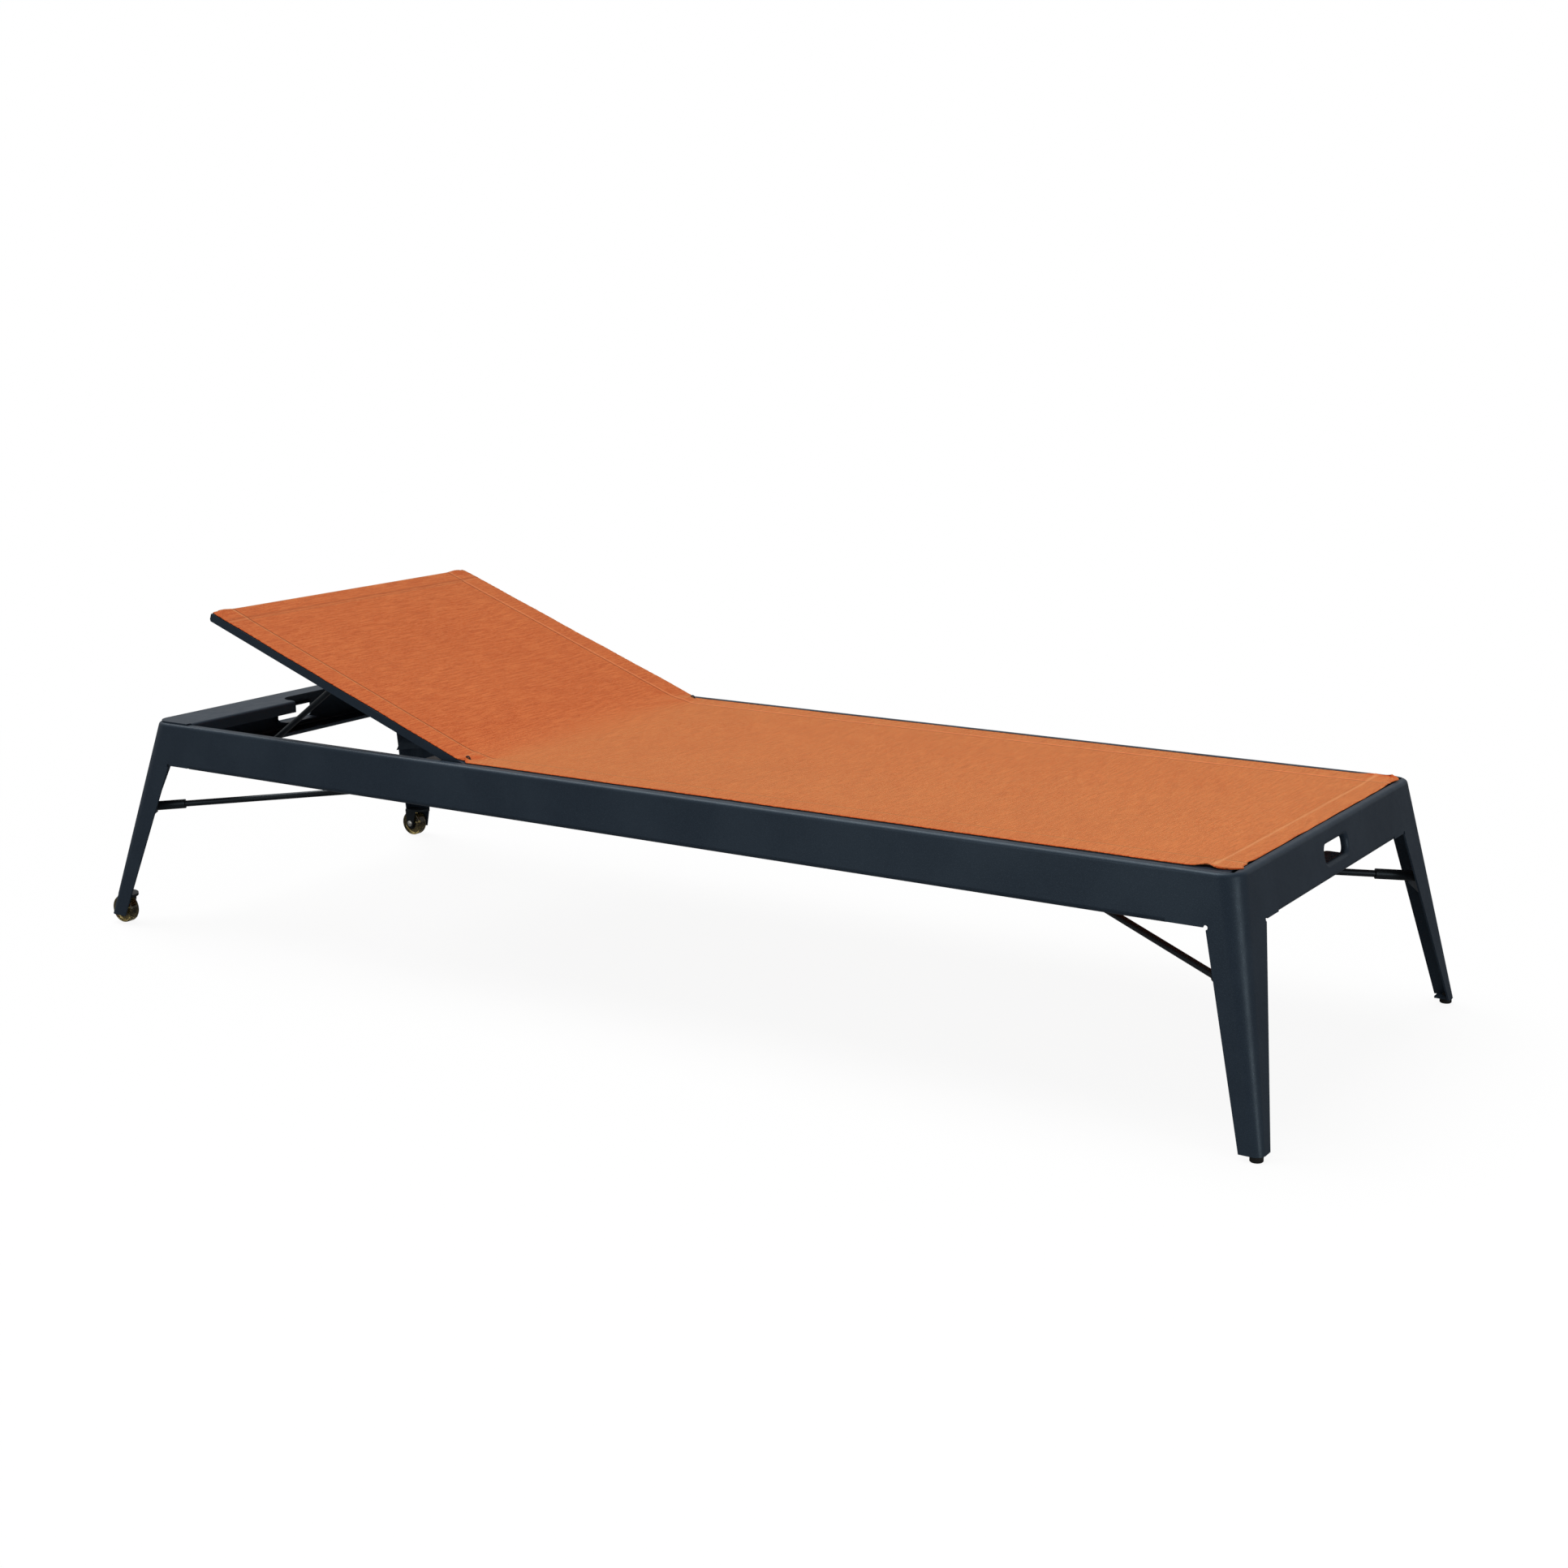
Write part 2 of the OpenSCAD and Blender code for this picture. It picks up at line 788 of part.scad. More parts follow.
// Plug that closes a backrest bar's tip, its lower edge chamfered
module bar_plug() {
  translate([0, bar_in_y + bar_w, 0])
    rotate([90, 0, 0])
      linear_extrude(bar_w)
        polygon([
          [plug_t - back_l, -bar_d / 2],
          [plug_t - back_l, bar_d / 2],
          [-back_l, bar_d / 2 - plug_edge],
          [-back_l, plug_chamfer - bar_d / 2]
        ]);
  translate([plug_t - back_l, bar_in_y + bar_wall, bar_wall - bar_d / 2])
    cube([plug_l, bar_w - 2 * bar_wall, bar_d - 2 * bar_wall]);
}

// Cross tube of the backrest, d from the hinge
module back_tube(d) {
  l = bed_w - 2 * bar_w;
  translate([-d, -l / 2, -bar_d / 2])
    rotate([0, 0, 90])
      box_tube(l, bar_w, bar_d, bar_wall);
}

// Wheels and castors
function axle_x() = frame_l / 2 + castor_in;
function leg_inner_y(z) = side_y(z) - level_t(side_lean);
function wheel_y() = leg_inner_y(wheel_r + wheel_w / 2) - cheek_t - wheel_side_gap - wheel_w / 2;

module at_axle(y) {
  translate([axle_x(), y, wheel_r])
    rotate([-90, 0, 0])
      children();
}

// Core with a raised hub, turned about the axle
module wheel_core() {
  at_axle(wheel_y())
    rotate_extrude()
      polygon([
        [axle_r + run_gap, -wheel_w / 2],
        [core_hub_r, -wheel_w / 2],
        [core_hub_r + core_hub_slope, core_recess - wheel_w / 2],
        [core_r, core_recess - wheel_w / 2],
        [core_r, wheel_w / 2 - core_recess],
        [core_hub_r + core_hub_slope, wheel_w / 2 - core_recess],
        [core_hub_r, wheel_w / 2],
        [axle_r + run_gap, wheel_w / 2]
      ]);
}

// Tread with rounded edges, cast around the core
module wheel_tread() {
  half_w = wheel_w / 2 - tread_inset;
  flat_w = half_w - tread_edge_r;
  edge_x = wheel_r - tread_edge_r;
  at_axle(wheel_y())
    rotate_extrude() {
      translate([core_r, -half_w])
        square([edge_x - core_r, 2 * half_w]);
      translate([core_r, -flat_w])
        square([wheel_r - core_r, 2 * flat_w]);
      for (s = [-1, 1])
        translate([edge_x, s * flat_w])
          circle(tread_edge_r);
    }
}

// Castor bracket: half-round plate with a turned-down rim, an inner cheek, and an
// outer cheek that lies against the leg's side face
module castor_bracket() {
  z_top = 2 * wheel_r + wheel_top_gap + castor_plate_t;
  y_in = wheel_y() - wheel_w / 2 - wheel_side_gap;
  intersection() {
    translate([axle_x() - castor_plate_set, leg_inner_y(z_top), 0])
      difference() {
        translate([0, 0, z_top - castor_rim_h])
          cylinder(h = castor_rim_h, r = castor_plate_r);
        translate([0, 0, z_top - castor_rim_h - over])
          cylinder(h = castor_rim_h + over - castor_plate_t, r = castor_plate_r - cheek_t);
      }
    leg_inside(head_lean, leg_gap_head);
  }
  translate([0, y_in, 0])
    rotate([90, 0, 0])
      linear_extrude(cheek_t)
        cheek_outline(z_top - castor_plate_t);
  intersection() {
    translate([0, frame_w, 0])
      rotate([90, 0, 0])
        linear_extrude(frame_w)
          cheek_outline(z_top - castor_plate_t);
    rotate([90, 0, 90])
      linear_extrude(frame_l)
        polygon([
          [leg_inner_y(0), 0],
          [leg_inner_y(z_top), z_top],
          [leg_inner_y(z_top) - cheek_t, z_top],
          [leg_inner_y(0) - cheek_t, 0]
        ]);
    leg_inside(head_lean, leg_gap_head);
  }
}

// Outline of a castor cheek in X and Z, with the axle's hole
module cheek_outline(z_top) {
  difference() {
    union() {
      translate([axle_x(), wheel_r])
        circle(cheek_r);
      polygon([
        [axle_x() - cheek_r, wheel_r],
        [axle_x() + cheek_r, wheel_r],
        [axle_x() + cheek_root_out, z_top],
        [axle_x() - cheek_root_in, z_top]
      ]);
    }
    translate([axle_x(), wheel_r])
      circle(axle_r + run_gap);
  }
}

module axle_bolt() {
  y_in = wheel_y() - wheel_w / 2 - wheel_side_gap - cheek_t;
  y_out = leg_inner_y(wheel_r) - axle_tail_gap;
  at_axle(y_in)
    cylinder(h = y_out - y_in, r = axle_r);
  at_axle(y_in)
    mirror([0, 0, 1])
      intersection() {
        cylinder(h = axle_head_t, r = axle_head_r);
        translate([0, 0, -axle_head_r])
          sphere(axle_head_r + axle_head_t);
      }
}

// Tab inside a foot leg, and the rubber foot under it
function pad_at() = [end_x(foot_lean, leg_gap_foot) - pad_in, side_y(leg_gap_foot) - pad_in];

module foot_tab() {
  difference() {
    intersection() {
      translate([pad_at().x - tab_in, pad_at().y - tab_in, leg_gap_foot])
        cube([tab_l, tab_l, tab_t]);
      leg_inside(foot_lean, leg_gap_foot);
    }
    translate([pad_at().x, pad_at().y, 0])
      cylinder(h = leg_gap_foot + 2 * tab_t, r = stem_r);
  }
}

module rubber_foot() {
  translate([pad_at().x, pad_at().y, 0]) {
    cylinder(h = pad_edge, r1 = pad_d / 2 - pad_edge, r2 = pad_d / 2);
    translate([0, 0, pad_edge])
      cylinder(h = leg_gap_foot - pad_edge, r = pad_d / 2);
    translate([0, 0, leg_gap_foot])
      cylinder(h = tab_t, r = stem_r);
    translate([0, 0, leg_gap_foot + tab_t])
      cylinder(h = barb_h, r = barb_r);
  }
}

// Fixed frame
module side_rail_right() { color(steel) in_frame(1, -1) side_rail(); }
module side_rail_left() { color(steel) in_frame(1, 1) side_rail(); }
module foot_apron() { color(steel) in_frame(1) end_apron(foot_lean, foot_flange, return_flange); }
module head_apron() { color(steel) in_frame(-1) end_apron(head_lean, head_flange, head_return_flange); }
module leg_foot_right() { color(steel) in_frame(1, -1) foot_leg_shape(); }
module leg_foot_left() { color(steel) in_frame(1, 1) foot_leg_shape(); }
module leg_head_right() { color(steel) in_frame(-1, -1) head_leg_shape(); }
module leg_head_left() { color(steel) in_frame(-1, 1) head_leg_shape(); }
module head_plate() { color(steel) in_frame(-1) head_plate_shape(); }
module cross_tube_foot() { color(steel) in_frame() cross_tube(hub_x); }
module cross_tube_hinge() { color(steel) in_frame() cross_tube(hinge_tube_x); }
module cross_tube_head() { color(steel) in_frame() cross_tube(-hub_x); }

// Seat frame and hinge
module seat_bar_right() { color(steel) in_frame(1, -1) seat_bar_shape(); }
module seat_bar_left() { color(steel) in_frame(1, 1) seat_bar_shape(); }
module seat_end_bar() { color(steel) in_frame() seat_end_bar_shape(); }
module seat_saddles() {
  color(steel)
    both_sides()
      for (x = [hub_x, hinge_tube_x])
        saddle(x);
}
module end_hangers() {
  color(steel)
    in_frame()
      for (y = [-hanger_y, hanger_y])
        end_hanger(y);
}
module hinge_lugs() { color(steel) both_sides() hinge_lug(); }
module hinge_pins() { color(zinc) both_sides() hinge_pin(); }

// Braces
module brace_foot_right() { color(dark) in_frame(1, -1) brace_rod(foot_lean); }
module brace_foot_left() { color(dark) in_frame(1, 1) brace_rod(foot_lean); }
module brace_head_right() { color(dark) in_frame(-1, -1) brace_rod(head_lean); }
module brace_head_left() { color(dark) in_frame(-1, 1) brace_rod(head_lean); }
module brace_ferrules() {
  color(dark) {
    both_sides(1) brace_ferrule(foot_lean);
    both_sides(-1) brace_ferrule(head_lean);
  }
}
module brace_gussets() {
  color(steel) {
    both_sides(1) brace_gusset(foot_lean, leg_gap_foot);
    both_sides(-1) brace_gusset(head_lean, leg_gap_head);
  }
}
module brace_hub_foot() { color(dark) in_frame(1) brace_hub(foot_lean); }
module brace_hub_head() { color(dark) in_frame(-1) brace_hub(head_lean); }

// Racks, feet and castors
module rack_right() { color(dark) in_frame(1, -1) rack_shape(); }
module rack_left() { color(dark) in_frame(1, 1) rack_shape(); }
module foot_tabs() { color(steel) both_sides() foot_tab(); }
module rubber_feet() { color(dark) both_sides() rubber_foot(); }
module castor_bracket_right() { color(dark) in_frame(-1, -1) castor_bracket(); }
module castor_bracket_left() { color(dark) in_frame(-1, 1) castor_bracket(); }
module axle_bolts() { color(zinc) both_sides(-1) axle_bolt(); }
module wheel_core_right() { color(dark) in_frame(-1, -1) wheel_core(); }
module wheel_tread_right() { color(amber) in_frame(-1, -1) wheel_tread(); }
module wheel_core_left() { color(dark) in_frame(-1, 1) wheel_core(); }
module wheel_tread_left() { color(amber) in_frame(-1, 1) wheel_tread(); }

// Backrest
module back_bar_right() { color(steel) in_backrest() mirror([0, 1, 0]) back_bar_shape(); }
module back_bar_left() { color(steel) in_backrest() back_bar_shape(); }
module back_top_tube() { color(steel) in_backrest() back_tube(back_l - plug_t - bar_w); }
module back_low_tube() { color(steel) in_backrest() back_tube(low_tube_at); }
module hinge_clips() {
  color(dark)
    in_backrest() {
      hinge_clip();
      mirror([0, 1, 0]) hinge_clip();
    }
}
module bar_plugs() {
  color(dark)
    in_backrest() {
      bar_plug();
      mirror([0, 1, 0]) bar_plug();
    }
}
module stay_bushes() {
  color(dark)
    in_backrest() {
      stay_bush();
      mirror([0, 1, 0]) stay_bush();
    }
}
module stay() {
  color(dark)
    translate([mid_x + pivot_x(recline), 0, pivot_z(recline)])
      rotate([0, -stay_angle(recline), 0])
        stay_shape();
}

// Sling panels
module seat_sling() {
  x0 = hinge_x + sling_break;
  color(fabric)
    in_frame()
      translate([x0, -bed_w / 2, bar_z + bar_d / 2 + sling_lift])
        cube([seat_end_x + sling_foot_over - x0, bed_w, sling_t]);
}
module back_sling() {
  color(fabric)
    in_backrest()
      translate([-back_l, -bed_w / 2, bar_d / 2 + sling_lift])
        cube([back_l - sling_break, bed_w, sling_t]);
}

side_rail_right();
side_rail_left();
foot_apron();
head_apron();
leg_foot_right();
leg_foot_left();
leg_head_right();
leg_head_left();
head_plate();
cross_tube_foot();
cross_tube_hinge();
cross_tube_head();
seat_bar_right();
seat_bar_left();
seat_end_bar();
seat_saddles();
end_hangers();
hinge_lugs();
hinge_pins();
hinge_clips();
brace_foot_right();
brace_foot_left();
brace_head_right();
brace_head_left();
brace_ferrules();
brace_gussets();
brace_hub_foot();
brace_hub_head();
rack_right();
rack_left();
foot_tabs();
rubber_feet();
castor_bracket_right();
castor_bracket_left();
axle_bolts();
wheel_core_right();
wheel_tread_right();
wheel_core_left();
wheel_tread_left();
back_bar_right();
back_bar_left();
back_top_tube();
back_low_tube();
bar_plugs();
stay_bushes();
stay();
seat_sling();
back_sling();
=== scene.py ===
"""Looks of the reclining sun lounger: powder-coated steel, one stretched sling and two castors.

Metres, in the row frame. X runs from the head (-) to the foot (+), Y is across, Z is up.
"""

import json
import math

import bmesh
import bpy
import numpy as np
from mathutils import Matrix, Vector


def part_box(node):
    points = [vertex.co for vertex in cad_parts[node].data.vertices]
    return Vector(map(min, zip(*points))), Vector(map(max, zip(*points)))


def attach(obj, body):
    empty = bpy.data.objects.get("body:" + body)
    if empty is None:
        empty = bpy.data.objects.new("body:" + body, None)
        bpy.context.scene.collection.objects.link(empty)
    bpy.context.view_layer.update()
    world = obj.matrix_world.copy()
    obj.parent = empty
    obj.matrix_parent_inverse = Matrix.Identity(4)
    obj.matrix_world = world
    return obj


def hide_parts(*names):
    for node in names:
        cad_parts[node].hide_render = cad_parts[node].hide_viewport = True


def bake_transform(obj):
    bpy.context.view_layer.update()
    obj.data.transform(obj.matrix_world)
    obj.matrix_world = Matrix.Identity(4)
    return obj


MM = 0.001
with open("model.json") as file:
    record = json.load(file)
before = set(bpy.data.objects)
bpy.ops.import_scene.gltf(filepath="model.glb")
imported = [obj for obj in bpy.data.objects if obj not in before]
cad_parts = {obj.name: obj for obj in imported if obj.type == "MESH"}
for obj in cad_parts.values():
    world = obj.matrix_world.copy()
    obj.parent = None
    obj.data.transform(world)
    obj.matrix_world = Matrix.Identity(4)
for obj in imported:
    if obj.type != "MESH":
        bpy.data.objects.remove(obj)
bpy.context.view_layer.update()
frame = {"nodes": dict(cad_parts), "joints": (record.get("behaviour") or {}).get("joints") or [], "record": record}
nodes = frame["nodes"]


# ---------------------------------------------------------------- places from the frame
def joint(name):
    """The record of one joint."""
    return next(j for j in frame["joints"] if j["name"] == name)


hinge = Vector(joint("backrest_recline")["pos_m"])
recline = math.radians(-joint("backrest_recline")["range_deg"][0])
bar_low, bar_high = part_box("seat_bar_left")
bar_half = bar_high.z - hinge.z
bar_width = bar_high.y - bar_low.y
bed_half = bar_high.y
back_length = -(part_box("back_sling")[0].x - hinge.x) / math.cos(recline)
seat_foot_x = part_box("seat_end_bar")[1].x


# ---------------------------------------------------------------- node helpers
class Shader:
    """A small wrapper that builds one node material."""

    def __init__(self, name):
        self.material = bpy.data.materials.new(name)
        self.material.use_nodes = True
        self.tree = self.material.node_tree
        self.tree.nodes.clear()
        self.output = self.add("ShaderNodeOutputMaterial")
        self.surface = self.add("ShaderNodeBsdfPrincipled")
        self.join(self.surface.outputs["BSDF"], self.output.inputs["Surface"])

    def add(self, kind, **settings):
        node = self.tree.nodes.new(kind)
        for key, value in settings.items():
            setattr(node, key, value)
        return node

    def join(self, source, target):
        self.tree.links.new(source, target)

    def set(self, node, **values):
        for key, value in values.items():
            socket = node.inputs[key.replace("_", " ")]
            if hasattr(value, "links"):
                self.join(value, socket)
            else:
                socket.default_value = value

    def object_point(self):
        return self.add("ShaderNodeTexCoord").outputs["Object"]

    def cloth_point(self):
        return self.add("ShaderNodeUVMap", uv_map="cloth").outputs["UV"]

    def scaled(self, point, x, y, z=1.0):
        node = self.add("ShaderNodeVectorMath", operation="MULTIPLY")
        self.join(point, node.inputs[0])
        node.inputs[1].default_value = (x, y, z)
        return node.outputs[0]

    def parts(self, point):
        node = self.add("ShaderNodeSeparateXYZ")
        self.join(point, node.inputs[0])
        return node.outputs

    def noise(self, point, scale=1.0, detail=2.0, rough=0.5):
        node = self.add("ShaderNodeTexNoise")
        self.set(node, Vector=point, Scale=scale, Detail=detail, Roughness=rough)
        return node.outputs["Fac"]

    def cells(self, point, scale):
        node = self.add("ShaderNodeTexVoronoi")
        self.set(node, Vector=point, Scale=scale)
        return node.outputs

    def math(self, operation, a, b=0.0, c=0.0):
        node = self.add("ShaderNodeMath", operation=operation)
        for socket, value in zip(node.inputs, (a, b, c)):
            if hasattr(value, "links"):
                self.join(value, socket)
            else:
                socket.default_value = value
        return node.outputs[0]

    def ramp(self, value, low, high, out_low=0.0, out_high=1.0):
        node = self.add("ShaderNodeMapRange", interpolation_type="SMOOTHSTEP")
        self.join(value, node.inputs["Value"])
        node.inputs["From Min"].default_value = low
        node.inputs["From Max"].default_value = high
        node.inputs["To Min"].default_value = out_low
        node.inputs["To Max"].default_value = out_high
        return node.outputs["Result"]

    def mix(self, share, a, b):
        node = self.add("ShaderNodeMix", data_type="RGBA", blend_type="MIX")
        for index, value in ((0, share), (6, a), (7, b)):
            if hasattr(value, "links"):
                self.join(value, node.inputs[index])
            elif index == 0:
                node.inputs[index].default_value = value
            else:
                node.inputs[index].default_value = (*value, 1.0)
        return node.outputs[2]

    def bump(self, height, distance, strength=1.0):
        node = self.add("ShaderNodeBump")
        self.set(node, Height=height, Distance=distance, Strength=strength)
        self.join(node.outputs["Normal"], self.surface.inputs["Normal"])


# ---------------------------------------------------------------- materials
def powder_coat(name, shade_strength, light, fleck, fleck_share, shine):
    """Powder coat: fine orange peel, slow mottling and a sparse metallic fleck."""
    s = Shader(name)
    point = s.object_point()
    mottle = s.noise(point, 9.0, 3.0)
    grain = s.noise(point, 900.0, 2.0, 0.7)
    colour = s.mix(s.ramp(mottle, 0.35, 0.65), shade_strength, light)
    colour = s.mix(s.ramp(grain, 0.35, 0.7, 0.0, 0.45), colour, [1.5 * v for v in light])
    sparkle = s.cells(point, 1900.0)
    spark = s.parts(sparkle["Color"])[0]
    hit = s.ramp(spark, 1.0 - fleck_share, 1.0)
    near = s.ramp(sparkle["Distance"], 0.35, 0.15)
    hit = s.math("MULTIPLY", hit, near)
    colour = s.mix(hit, colour, fleck)
    s.set(s.surface, Base_Color=colour, Metallic=hit)
    s.set(s.surface, Roughness=s.ramp(s.noise(point, 60.0, 3.0), 0.3, 0.7, 0.36, 0.42))
    s.surface.inputs["Specular IOR Level"].default_value = shine
    s.surface.inputs["Specular Tint"].default_value = (0.72, 0.9, 1.0, 1.0)
    peel = s.noise(point, 420.0, 3.0, 0.6)
    s.bump(peel, 0.12 * MM, 0.5)
    return s.material


def satin_black(name, shade, rough, grain_scale):
    """Satin black paint or plastic with a fine grain."""
    s = Shader(name)
    point = s.object_point()
    mottle = s.ramp(s.noise(point, 30.0, 4.0), 0.35, 0.65)
    colour = s.mix(mottle, [0.7 * v for v in shade], [1.4 * v for v in shade])
    s.set(s.surface, Base_Color=colour)
    s.set(s.surface, Roughness=s.ramp(s.noise(point, 140.0), 0.3, 0.7, rough - 0.06, rough + 0.08))
    s.surface.inputs["Specular IOR Level"].default_value = 0.3
    s.bump(s.noise(point, grain_scale, 2.0), 0.1 * MM, 0.4)
    return s.material


def zinc(name):
    """Bright zinc plate with faint turning marks and a cloudy bloom."""
    s = Shader(name)
    point = s.object_point()
    cloud = s.ramp(s.noise(point, 160.0, 4.0), 0.35, 0.65)
    s.set(s.surface, Base_Color=s.mix(cloud, (0.46, 0.45, 0.42), (0.78, 0.77, 0.72)))
    s.surface.inputs["Metallic"].default_value = 1.0
    s.set(s.surface, Roughness=s.ramp(s.noise(point, 500.0, 3.0), 0.3, 0.7, 0.22, 0.4))
    s.bump(s.noise(s.scaled(point, 300.0, 3000.0, 300.0)), 0.03 * MM, 0.5)
    return s.material


def smoky_tread(name):
    """Cast polyurethane: smoky amber, clear enough to glow at its rim."""
    s = Shader(name)
    point = s.object_point()
    cloud = s.ramp(s.noise(point, 90.0, 4.0), 0.35, 0.65)
    s.set(s.surface, Base_Color=s.mix(cloud, (0.13, 0.095, 0.028), (0.40, 0.32, 0.13)))
    s.surface.inputs["Transmission Weight"].default_value = 0.9
    s.surface.inputs["IOR"].default_value = 1.5
    s.set(s.surface, Roughness=s.ramp(s.noise(point, 420.0, 3.0), 0.35, 0.7, 0.06, 0.2))
    s.bump(s.noise(point, 220.0), 0.04 * MM, 0.25)
    return s.material


THREAD = 0.9 * MM
STITCH = 3.2 * MM


def sling_fabric(name):
    """Woven outdoor fabric. The cloth map gives its length in U and its width in V, in metres."""
    s = Shader(name)
    point = s.cloth_point()
    along, across = s.parts(point)[0], s.parts(point)[1]
    # slubbed weft yarns that run across the width
    dark_yarn = s.noise(s.scaled(point, 600.0, 88.0), 1.0, 2.0, 0.6)
    pale_yarn = s.noise(s.scaled(point, 540.0, 110.0, 3.0), 1.0, 2.0, 0.6)
    slub = s.noise(s.scaled(point, 400.0, 24.0), 1.0, 2.0, 0.55)
    bright_slub = s.noise(s.scaled(point, 320.0, 21.0, 5.0), 1.0, 2.0, 0.55)
    heather = s.noise(s.scaled(point, 620.0, 430.0), 1.0, 2.0, 0.6)
    band = s.noise(s.scaled(point, 210.0, 22.0, 9.0), 1.0, 3.0, 0.65)
    slow = s.noise(s.scaled(point, 7.0, 5.0), 1.0, 2.0)
    streak = s.math("SUBTRACT", pale_yarn, dark_yarn)
    brick, clay, peach = (0.45, 0.048, 0.008), (0.61, 0.104, 0.022), (0.78, 0.200, 0.056)
    colour = s.mix(s.ramp(dark_yarn, 0.48, 0.66, 0.0, 0.9), clay, brick)
    colour = s.mix(s.ramp(pale_yarn, 0.50, 0.66, 0.0, 0.8), colour, peach)
    colour = s.mix(s.ramp(slub, 0.46, 0.62, 0.0, 0.7), colour, brick)
    colour = s.mix(s.ramp(bright_slub, 0.47, 0.62, 0.0, 0.55), colour, peach)
    colour = s.mix(s.ramp(heather, 0.45, 0.65, 0.0, 0.6), colour, peach)
    colour = s.mix(s.ramp(band, 0.50, 0.66, 0.0, 0.14), colour, brick)
    colour = s.mix(s.ramp(band, 0.34, 0.50, 0.12, 0.0), colour, peach)
    colour = s.mix(s.ramp(slow, 0.3, 0.7, 0.0, 0.12), colour, brick)
    # plain weave of warp and weft threads
    pitch = 2 * math.pi / THREAD
    warp = s.math("SINE", s.math("MULTIPLY", across, pitch))
    weft = s.math("SINE", s.math("MULTIPLY", along, pitch))
    weave = s.math("MULTIPLY", warp, weft)
    colour = s.mix(s.ramp(weave, -1.0, 1.0, 0.30, 0.0), colour, (0.34, 0.045, 0.010))
    # seams: a pale band that is a painted highlight on the raised ridge, and beside it a dark line that is painted
    # shade of the fold, with the dark of real stitches in dashes on the side and foot seams
    stitch = s.math("ABSOLUTE", s.math("SINE", s.math("MULTIPLY", along, math.pi / STITCH)))
    stitch_across = s.math("ABSOLUTE", s.math("SINE", s.math("MULTIPLY", across, math.pi / STITCH)))
    side = s.math("SUBTRACT", s.math("ABSOLUTE", across), SIDE_SEAM)
    foot = s.math("SUBTRACT", along, FOOT_SEAM)
    top = s.math("SUBTRACT", s.math("MULTIPLY", along, -1.0), TOP_SEAM)
    # distance, dashes, strength and half-width of the ridge's painted highlight, place, half-width and strength of
    # the line of stitches and painted fold shade
    seams = (
        (side, stitch, 0.40, 2.6 * MM, -2.8 * MM, 1.9 * MM, 0.9),
        (foot, stitch_across, 0.42, 4.6 * MM, -4.5 * MM, 1.2 * MM, 0.20),
        (top, 1.0, 0.30, 2.4 * MM, 6.0 * MM, 3.4 * MM, 0.34),
    )
    for distance, dashes, highlight_strength, ridge_width, line_at, line_width, shade_strength in seams:
        ridge_highlight = s.ramp(s.math("ABSOLUTE", distance), 0.3 * ridge_width, ridge_width, highlight_strength, 0.0)
        # painted highlight: the seam's ridge is made lighter as if lit
        colour = s.mix(ridge_highlight, colour, (0.80, 0.33, 0.14))
        away = s.math("ABSOLUTE", s.math("SUBTRACT", distance, line_at))
        stitch_and_fold_shade = s.ramp(away, 0.4 * line_width, line_width, shade_strength, 0.0)
        if hasattr(dashes, "links"):
            stitch_and_fold_shade = s.math("MULTIPLY", stitch_and_fold_shade, s.ramp(dashes, 0.1, 0.5, 0.35, 1.0))
        # painted shade of the fold beside the seam, darker again at the stitches
        colour = s.mix(stitch_and_fold_shade, colour, (0.26, 0.028, 0.006))
    # painted shade of the slit that the wire clip comes through: the cloth has no hole there, the dark is painted
    slit_along = s.ramp(s.math("ABSOLUTE", along), 5.0 * MM, 6.0 * MM, 1.0, 0.0)
    slit_across = s.math("ABSOLUTE", s.math("SUBTRACT", s.math("ABSOLUTE", across), CLIP_ACROSS))
    painted_slit_shade = s.math("MULTIPLY", slit_along, s.ramp(slit_across, 1.1 * MM, 1.8 * MM, 1.0, 0.0))
    # painted shade: the slit's dark is colour, not an opening
    colour = s.mix(painted_slit_shade, colour, (0.02, 0.008, 0.005))
    s.set(s.surface, Base_Color=colour)
    s.set(s.surface, Roughness=s.ramp(streak, -0.2, 0.2, 0.9, 0.78))
    s.surface.inputs["Specular IOR Level"].default_value = 0.12
    s.surface.inputs["Sheen Weight"].default_value = 0.8
    s.surface.inputs["Sheen Roughness"].default_value = 0.3
    s.surface.inputs["Sheen Tint"].default_value = (1.0, 0.86, 0.36, 1.0)
    height = s.math("ADD", s.math("MULTIPLY", weave, 0.35), s.math("MULTIPLY", streak, 0.9))
    s.bump(height, 0.25 * MM, 0.6)
    return s.material


# ---------------------------------------------------------------- the sling's measures
SIDE_SEAM = bed_half - 42 * MM
FOOT_EDGE = seat_foot_x - hinge.x + 4 * MM
FOOT_SEAM = FOOT_EDGE - 32 * MM
TOP_EDGE = back_length - 1 * MM
TOP_SEAM = TOP_EDGE - 37 * MM
CLIP_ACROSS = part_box("hinge_clips")[1].y - 1.1 * MM


def paint():
    """Gives every CAD node the material of its slot."""
    made = {
        "painted_steel": powder_coat(
            "painted_steel",
            (0.0135, 0.0215, 0.034),
            (0.019, 0.029, 0.043),
            (0.12, 0.155, 0.19),
            0.26,
            0.24,
        ),
        "black_steel": powder_coat(
            "black_steel", (0.006, 0.007, 0.009), (0.010, 0.012, 0.015), (0.08, 0.09, 0.10), 0.04, 0.35
        ),
        "zinc_steel": zinc("zinc_steel"),
        "foot_rubber": satin_black("foot_rubber", (0.012, 0.012, 0.012), 0.72, 900.0),
        "black_plastic": satin_black("black_plastic", (0.012, 0.012, 0.014), 0.42, 600.0),
        "wheel_core": satin_black("wheel_core", (0.008, 0.008, 0.008), 0.3, 500.0),
        "wheel_tread": smoky_tread("wheel_tread"),
        "sling_fabric": sling_fabric("sling_fabric"),
    }
    slots = {part["node"]: part["material_slot"] for part in frame["record"]["subparts"]}
    for name, node in nodes.items():
        node.data.materials.clear()
        node.data.materials.append(made[slots[name]])
    return made


materials = paint()


